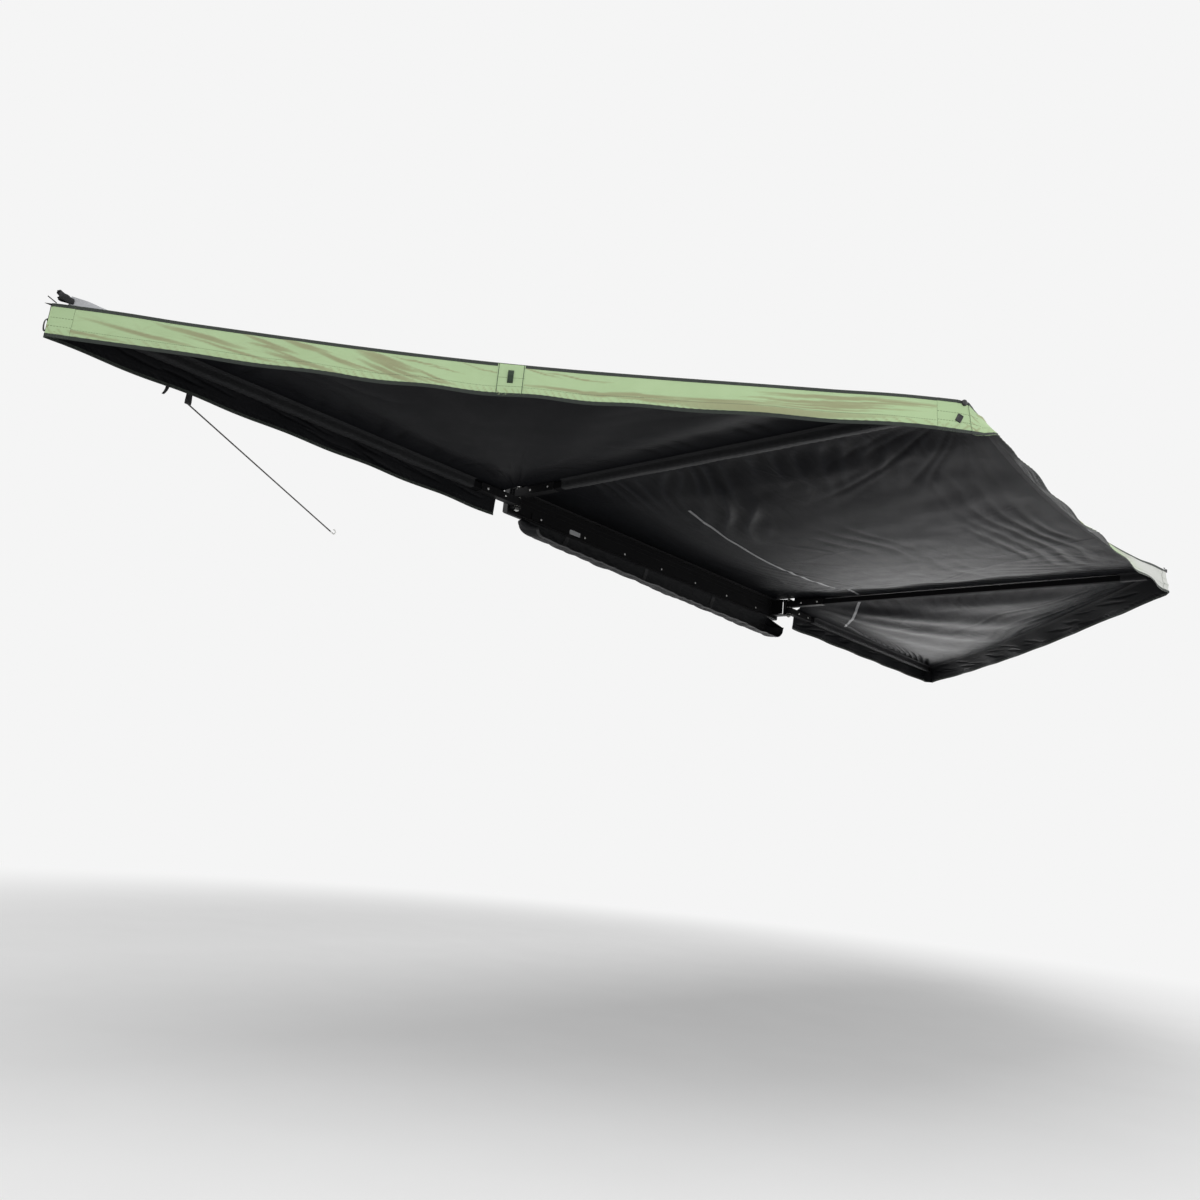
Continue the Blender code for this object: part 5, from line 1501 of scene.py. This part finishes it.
# %% Pins
pin_middle = corner_point("corner_front_inner", 0.5, 0.0, 0.0) + Vector((0.004, -0.004, 0.006))
for name, middle, start, finish, radius in (
    ("rear_corner_pin", tip_edge(0.0), (0.006, 0.0, 0.004), (-0.020, 0.004, 0.016), 0.0016),
    ("corner_pin_stem", pin_middle, (-0.012, 0.0, 0.008), (0.014, -0.004, -0.002), 0.0018),
    ("corner_pin_head", pin_middle, (0.014, -0.004, -0.008), (0.014, -0.004, 0.006), 0.0030),
):
    body = "rear_outer_arm" if middle is not pin_middle else "front_inner_arm"
    pin_points = [middle + Vector(start).lerp(Vector(finish), step / 6) for step in range(7)]
    dress(wire(name, pin_points, radius, [BLACK_PLASTIC]), body, "black_plastic")
print("corner details made")

# %% [markdown]
# ## Sleeves
#
# Each arm but the front inner one runs in a sleeve: a strip of black canvas sewn to the
# canopy's underside along both edges, so that it hangs round the tube like a sling. The
# front inner arm carries the canopy only by a short pocket at its tip.
# %% Section of a sleeve
TUBE_HALF = 0.014
CLOTH_TO_AXIS = 0.0193


def sling_section(left, right):
    """Half of the sling on each side: a flange to sew, a wall beside the tube and a floor."""
    wall = TUBE_HALF + 0.0010
    return [
        (-left, 0.0163), (-wall - 0.006, 0.0163), (-wall - 0.0015, 0.0145), (-wall, 0.0100),
        (-wall, -0.0080), (-wall + 0.0030, -0.0148), (0.0, -0.0158), (wall - 0.0030, -0.0148),
        (wall, -0.0080), (wall, 0.0100), (wall + 0.0015, 0.0145), (wall + 0.006, 0.0163), (right, 0.0163),
    ]


def along_path(points, share):
    """The point at a share of a broken line's length."""
    lengths = [math.dist(a, b) for a, b in zip(points, points[1:])]
    left = share * sum(lengths)
    for (a, b), length in zip(zip(points, points[1:]), lengths):
        if left <= length:
            t = left / length
            return a[0] + (b[0] - a[0]) * t, a[1] + (b[1] - a[1]) * t
        left -= length
    return points[-1]


# %% A sleeve round its arm
def sleeve_place(pivot, level, heading, start, end, section, seed):
    run = Vector((math.cos(heading), math.sin(heading), 0.0))
    across = Vector((-run.y, run.x, 0.0))

    def place(u, v):
        side, height = along_path(section, v)
        reach = start + (end - start) * u
        loose = smooth((0.012 - height) / 0.02)
        slack = 0.0022 * loose * max(wander(reach * 9.0, v * 3.0, seed) + 0.25, 0.0)
        pull = 0.0007 * loose * (1.0 + math.sin(math.tau * reach / 0.031 + 5 * wander(reach * 6, v, seed)))
        side *= 1.0 + (slack + pull) / TUBE_HALF
        height -= (slack + pull) * smooth((0.004 - height) / 0.01)
        return Vector((pivot.x, pivot.y, level + height)) + run * reach + across * side
    return place


# %% The sleeves
SLING = sling_section(0.0310, 0.0310)
UPPER_ARM = LEVEL_UPPER - CLOTH_TO_AXIS
LOWER_ARM = LEVEL_LOWER - CLOTH_TO_AXIS
SLEEVE_START, SLEEVE_END, POCKET_START = 0.262, 1.850, 1.740
sleeves = {
    "rear_inner_sling": (REAR, UPPER_ARM, -90, SLEEVE_START, SLING, "rear_inner_arm", "rear_inner_sleeve"),
    "rear_outer_sling": (REAR, LOWER_ARM, 180, SLEEVE_START, sling_section(0.0225, 0.0310),
                         "rear_outer_arm", "rear_outer_sleeve"),
    "front_outer_sling": (FRONT, LOWER_ARM, 0, SLEEVE_START, sling_section(0.0310, 0.0225),
                          "front_outer_arm", "front_outer_sleeve"),
    "front_inner_tip_pocket": (FRONT, UPPER_ARM, -90, POCKET_START, SLING,
                               "front_inner_arm", "front_inner_pocket"),
}
for seed, (name, (pivot, level, heading, start, section, body, node)) in enumerate(sleeves.items()):
    place = sleeve_place(pivot, level, math.radians(heading), start, SLEEVE_END, section, 80 + seed)
    girth = sum(math.dist(a, b) for a, b in zip(section, section[1:]))
    columns = int((SLEEVE_END - start) / 0.008)
    sling = cloth_grid(name, place, columns, 44, [BLACK_CANVAS], (0, 0, -1), (SLEEVE_END - start, girth))
    dress(sling, body, "sleeve_cloth", node)
print("sleeves made")

# %% [markdown]
# ## Ropes in the tracks
#
# The canopy's edge and the travel cover's edge are each sewn round a rope, which slides in
# along a track of the base. A tail of cloth leaves the track through its narrow mouth.
# %% Ropes
for name, node in (("canopy_edge_rope", "canopy_rope"), ("cover_edge_rope", "cover_rope")):
    low, high = node_box(node)
    middle = (low + high) / 2
    points = [Vector((low.x + (high.x - low.x) * step / 60, middle.y, middle.z)) for step in range(61)]
    rope = wire(name, points, (high.z - low.z) / 2, [ROPE_CORE], 5)
    dress(rope, "base", "sleeve_cloth", node)

# %% [markdown]
# ## The travel cover
#
# When the awning is packed, a long cover closes round it. Opened, it hangs below the base as
# a trough of heavy coated cloth, deeper at the front than at the rear, with a zip along its
# free edge, piping along its seams and straps that tie it up.
# %% Cover section
COVER_LENGTH = 1.980
COVER_START = Vector((-0.0628, -0.0153))
COVER_LIP = 0.110
COVER_ROUND = 0.060
COVER_BELLY, COVER_TURN, STRAIGHT_SHARE = 0.018, 0.045, 0.55


def cover_drop(x):
    """Depth of the trough: it hangs lower towards the front and rounds up at its ends."""
    drop = 0.088 + 0.044 * (x / COVER_LENGTH + 0.5)
    from_corner = max(COVER_ROUND - (COVER_LENGTH / 2 - abs(x)), 0.0)
    rise = COVER_ROUND - math.sqrt(max(COVER_ROUND**2 - from_corner**2, 0.0))
    return drop - rise * (0.5 if x < 0.0 else 1.0)


def cover_point(x, share):
    """Outer face of the cover at x: straight down from its rope, then under and back up."""
    straight = cover_drop(x) - COVER_TURN
    if share <= STRAIGHT_SHARE:
        t = share / STRAIGHT_SHARE
        y, z = COVER_BELLY * smooth(t), -straight * t
    else:
        angle = math.pi / 2 * (share - STRAIGHT_SHARE) / (1.0 - STRAIGHT_SHARE)
        y = COVER_BELLY - (COVER_LIP + COVER_BELLY) * (1.0 - math.cos(angle))
        z = -straight - COVER_TURN * math.sin(angle)
    sway = 0.004 * math.sin(math.tau * 3 * (x / COVER_LENGTH + 0.5)) * share
    return Vector((x, COVER_START.x + y - sway, COVER_START.y + z))


# %% The cover
def cover_place(proud=0.0, low=0.0, high=1.0):
    """The crumpled cover between two shares of its width, proud of its face."""
    def place(u, v):
        x = COVER_LENGTH * (u - 0.5)
        share = low + (high - low) * v
        point = cover_point(x, share)
        ahead = cover_point(x, min(share + 0.01, 1.0)) - cover_point(x, max(share - 0.01, 0.0))
        normal = Vector((0.0, ahead.z, -ahead.y)).normalized()
        crumple = 0.0050 * smooth(share / 0.15) * wander(x * 6.0, share * 3.0, 91)
        turns = x / 0.11 + 1.4 * wander(x * 2.5, share * 1.5, 92)
        crumple += 0.0035 * smooth(share / 0.10) * (crest(turns) - 0.3)
        crumple += 0.0016 * smooth(share / 0.10) * wander(x * 25.0, share * 9.0, 93)
        return point + normal * (crumple + proud)
    return place


cover = cloth_grid("travel_cover_cloth", cover_place(), 400, 44, [COVER_CLOTH, BLACK_CANVAS],
                   (0, -0.4, -1), (COVER_LENGTH, 0.30), 0.0012)
dress(cover, "cover", "cover_vinyl", "travel_cover")


# %% The cover's ends
def cover_end(x, out):
    """A soft end panel: from the chord between the cover's two edges to its section."""
    def place(u, v):
        section = cover_place()(x / COVER_LENGTH + 0.5, v)
        chord = Vector((x, 0.0, COVER_START.y)).lerp(cover_point(x, 1.0), v)
        chord.y = COVER_START.x + (cover_point(x, 1.0).y - COVER_START.x) * v
        point = chord.lerp(section, u)
        puff = 0.014 * math.sin(math.pi * u) ** 0.7 * math.sin(math.pi * v) ** 0.7
        return point + Vector((out * puff, 0.0, 0.0025 * wander(u * 5, v * 6, 95) * math.sin(math.pi * u)))
    return place


COVER_TOWARD = (0, -0.4, -1)
for name, out in (("cover_end_rear", -1.0), ("cover_end_front", 1.0)):
    x = out * COVER_LENGTH / 2
    panel = cloth_grid(name, cover_end(x, out), 24, 44, [COVER_CLOTH], (out, 0, 0), (0.10, 0.24), 0.0012)
    dress(panel, "cover", "cover_vinyl")
    edge = cover_place(0.0014)
    beyond = Vector((out * 0.0008, 0, 0))
    seam_points = [edge(x / COVER_LENGTH + 0.5, step / 60) + beyond for step in range(61)]
    piping = wire(name + "_piping", seam_points, 0.0021, [BLACK_CANVAS], 3)
    dress(piping, "cover", "cover_vinyl")

# %% Straps and zip
for index, x in enumerate((-0.70, -0.12, 0.45)):
    def strap_place(u, v):
        return cover_place(0.0026)((x + (u - 0.5) * STRAP_WIDTH) / COVER_LENGTH + 0.5, 0.03 + 0.95 * v)
    strap = cloth_grid(f"cover_strap_{index + 1}", strap_place, 6, 60, [STRAP], COVER_TOWARD,
                       (STRAP_WIDTH, 0.25), 0.0014)
    dress(strap, "cover", "webbing")

zip_tape = cloth_grid("cover_zip_tape", cover_place(-0.0022, 0.965, 1.0), 300, 6, [STRAP],
                      COVER_TOWARD, (COVER_LENGTH, 0.012), 0.0010)
dress(zip_tape, "cover", "webbing")
print("cover made")

# %% [markdown]
# ## Finishes for the CAD's own pieces
#
# The metal and plastic pieces keep the CAD meshes, which already have their true shapes.
# They only change their materials, by the slot that each has in the model.
#
# Rivets and screws are part of the pieces that they hold, so their plated heads are spots in
# the coat's own material: a small group gives 1 within a radius of each head's centre.
# %% Coat with bare heads
def make_spot():
    """1 within Radius of Center, by distance in the object's own space."""
    tree, source, sink = new_group("spot", {"Vector": None, "Center": None, "Radius": 0.005}, ["Mask"])
    ends = {0: source.outputs["Vector"], 1: source.outputs["Center"]}
    away = add_node(tree, "ShaderNodeVectorMath", ends, operation="DISTANCE")
    inside = math_node(tree, "LESS_THAN", away.outputs["Value"], source.outputs["Radius"])
    tree.links.new(inside, sink.inputs["Mask"])
    return tree


SPOT = make_spot()
PLATED = (0.72, 0.72, 0.70)


def coat_with_heads(name, places, radius):
    """The black coat, with plated screw or rivet heads at the places given."""
    material = BLACK_COAT.copy()
    material.name = name
    tree = material.node_tree
    shader = tree.nodes["Principled BSDF"]
    where = tree.nodes["Texture Coordinate"].outputs["Object"]
    mask = 0.0
    for place in places:
        head = {"Vector": where, "Center": place, "Radius": radius}
        spot = add_node(tree, "ShaderNodeGroup", head, node_tree=SPOT)
        mask = math_node(tree, "MAXIMUM", mask, spot.outputs[0])
    coat = shader.inputs["Base Color"].links[0].from_socket
    tree.links.new(mix_colors(tree, mask, coat, PLATED), shader.inputs["Base Color"])
    tree.links.new(math_node(tree, "MULTIPLY", mask, 0.65), shader.inputs["Metallic"])
    return material


# %% Finishes on the CAD nodes
FINISHES = {
    "black_coated": BLACK_COAT, "alloy": BARE_ALLOY, "steel": ZINC,
    "black_plastic": BLACK_PLASTIC, "nylon": NYLON,
}
SCREW_REACHES, SCREW_ASIDE = (0.085, 0.185), 0.0190
HINGE_SCREW_X, HINGE_SCREW_Y = 1.046, -0.0640
LARGE_HEAD, SMALL_HEAD = 0.0056, 0.0052
RIVETS, RIVET_FROM_END = 7, 0.060
strip_low, strip_high = node_box("clamp_strip")
first, last = strip_low.x + RIVET_FROM_END, strip_high.x - RIVET_FROM_END
rivets = [(first + (last - first) * step / (RIVETS - 1), strip_low.y, (strip_low.z + strip_high.z) / 2)
          for step in range(RIVETS)]
OWN_FINISHES = {"clamp_strip": coat_with_heads("strip_coat", rivets, LARGE_HEAD)}
ARM_COAT = hard_material("arm_coat", (0.0065, 0.0065, 0.0070), (0.03, 0.03, 0.032), 0.70, specular=0.01)
for end, pivot, side in (("rear", REAR, -1), ("front", FRONT, 1)):
    screws = [(side * HINGE_SCREW_X, HINGE_SCREW_Y, height) for height in (UPPER_ARM, LOWER_ARM)]
    OWN_FINISHES[end + "_hinge_bracket"] = coat_with_heads(end + "_hinge_coat", screws, LARGE_HEAD)
    for arm, level, run in (
        ("inner", UPPER_ARM, Vector((0, -1, 0))), ("outer", LOWER_ARM, Vector((side, 0, 0))),
    ):
        OWN_FINISHES[f"{end}_{arm}_tube"] = ARM_COAT
        across = Vector((-run.y, run.x, 0.0)) * SCREW_ASIDE
        axis = Vector((pivot.x, pivot.y, level))
        screws = [axis + run * reach + across * turn for reach in SCREW_REACHES for turn in (1, -1)]
        knuckle = f"{end}_{arm}_knuckle"
        OWN_FINISHES[knuckle] = coat_with_heads(knuckle + "_coat", screws, SMALL_HEAD)
finished = 0
for name, node in nodes.items():
    for index, material in enumerate(node.data.materials):
        key = material.name.split(".")[0]
        if key in FINISHES:
            node.data.materials[index] = OWN_FINISHES.get(name, FINISHES[key])
            finished += 1
print("CAD materials replaced", finished)

# %% [markdown]
# ## Side plate of the front bracket
#
# The front pivot stands further out, so its bracket is deep. A folded side plate between the
# two ears stiffens it. A cube scaled to the opening and bevelled is enough for a flat plate.
# %% Side plate
ear_low, ear_high = node_box("front_hinge_bracket")
PLATE_GAP, PLATE_WALL, EAR_WALL = 0.0004, 0.003, 0.005
inside = EAR_WALL + PLATE_GAP
plate_low = Vector((FRONT.x - 0.030, FRONT.y + 0.0250, ear_low.z + inside))
plate_high = Vector((plate_low.x + PLATE_WALL, ear_high.y - inside, ear_high.z - inside))
bm = bevelled_block(plate_high - plate_low, 0.0006, 2)
bmesh.ops.translate(bm, vec=(plate_low + plate_high) / 2, verts=bm.verts)
side_plate = link_mesh("front_bracket_side", bm, [BLACK_COAT])
dress(side_plate, "base", "black_coated")
print("side plate", [round(value, 4) for value in plate_high - plate_low])

# %% [markdown]
# ## Floor, light and background
#
# A plain pale floor stands below the awning. The main light is a large soft panel behind the
# camera. The underside of a canopy faces away from every lamp above it, so a second panel in
# front, low and to the right, rakes along the cloth and shows its folds.
# %% Floor
FLOOR_LEVEL, FLOOR_RADIUS = -1.96, 40.0
FADE_START, FADE_END = 2.5, 6.0
BACKGROUND = (0.913, 0.913, 0.913, 1.0)


def seen_rays(tree, *kinds):
    """1 for rays of the kinds given, which are names of Light Path's outputs."""
    rays = add_node(tree, "ShaderNodeLightPath")
    seen = rays.outputs[kinds[0]]
    for kind in kinds[1:]:
        seen = math_node(tree, "MAXIMUM", seen, rays.outputs[kind])
    return seen


def backdrop_material():
    """Pale floor that turns into the background colour far from the middle."""
    material, tree, shader = start_material("floor", {"Roughness": 0.9, "Specular IOR Level": 0.1})
    where = add_node(tree, "ShaderNodeTexCoord").outputs["Object"]
    grain = add_node(tree, "ShaderNodeTexNoise", {"Vector": where, "Scale": 3.0})
    tone = mix_colors(tree, grain.outputs[0], (0.84, 0.84, 0.84), (0.88, 0.88, 0.88))
    tree.links.new(tone, shader.inputs["Base Color"])
    away = add_node(tree, "ShaderNodeVectorMath", {0: where}, operation="LENGTH").outputs["Value"]
    edge = {"Value": away, "From Min": FADE_START, "From Max": FADE_END}
    far = add_node(tree, "ShaderNodeMapRange", edge, interpolation_type="SMOOTHSTEP").outputs[0]
    glow = add_node(tree, "ShaderNodeEmission", {"Color": BACKGROUND})
    share = math_node(tree, "MULTIPLY", far, seen_rays(tree, "Is Camera Ray", "Is Glossy Ray"))
    blend = add_node(tree, "ShaderNodeMixShader", {0: share, 1: shader.outputs[0], 2: glow.outputs[0]})
    tree.links.new(blend.outputs[0], tree.nodes["Material Output"].inputs["Surface"])
    return material


bm = bmesh.new()
bmesh.ops.create_circle(bm, cap_ends=True, segments=96, radius=FLOOR_RADIUS)
bmesh.ops.translate(bm, verts=bm.verts, vec=(0.0, 0.0, FLOOR_LEVEL))
floor = link_mesh("floor", bm, [backdrop_material()])
floor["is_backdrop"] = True
print("floor at", FLOOR_LEVEL)


# %% Lamps
def panel_light(name, place, target, size, power):
    data = bpy.data.lights.new(name, "AREA")
    data.shape = "RECTANGLE"
    data.size, data.size_y = size
    data.energy = power
    lamp = bpy.data.objects.new(name, data)
    lamp.location = place
    lamp.rotation_euler = (Vector(target) - Vector(place)).to_track_quat("-Z", "Y").to_euler()
    lamp.visible_camera = False
    bpy.context.scene.collection.objects.link(lamp)
    return lamp


# Each lamp: its place, what it points at, its size and its power in watts.
LAMPS = {
    "key": ((-6.0, -6.5, 1.0), (0.0, -1.5, -0.1), (4.0, 3.0), 260.0),
    "fill": ((3.5, -6.0, 1.2), (0.5, -1.5, 0.0), (3.5, 2.5), 110.0),
    "rake": ((5.4, 0.6, -1.1), (0.6, -0.9, 0.1), (2.6, 1.6), 96.0),
    "top": ((0.0, -1.0, 4.5), (0.0, -1.0, 0.0), (5.0, 4.0), 130.0),
}
lamps = {name: panel_light(name, *facts) for name, facts in LAMPS.items()}
kept_dark = bpy.data.collections.new("not_lit_by_rake")
kept_dark.objects.link(floor)
kept_dark.collection_objects[0].light_linking.link_state = "EXCLUDE"
lamps["rake"].light_linking.receiver_collection = kept_dark
print("lamps", list(lamps))

# %% World
world = bpy.data.worlds.new("studio")
bpy.context.scene.world = world
world.use_nodes = True
tree = world.node_tree
plain = tree.nodes["Background"]
plain.inputs["Color"].default_value = (0.80, 0.80, 0.80, 1.0)
plain.inputs["Strength"].default_value = 0.60
shown = add_node(tree, "ShaderNodeBackground", {"Color": BACKGROUND})
seen = seen_rays(tree, "Is Camera Ray", "Is Glossy Ray", "Is Transmission Ray")
blend = add_node(tree, "ShaderNodeMixShader", {0: seen, 1: plain.outputs[0], 2: shown.outputs[0]})
tree.links.new(blend.outputs[0], tree.nodes["World Output"].inputs["Surface"])
bpy.context.scene.view_settings.view_transform = "Standard"

boxes = [[list(corner) for corner in box] for box in (cad_bounds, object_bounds())]
print("visual box", boxes[1])
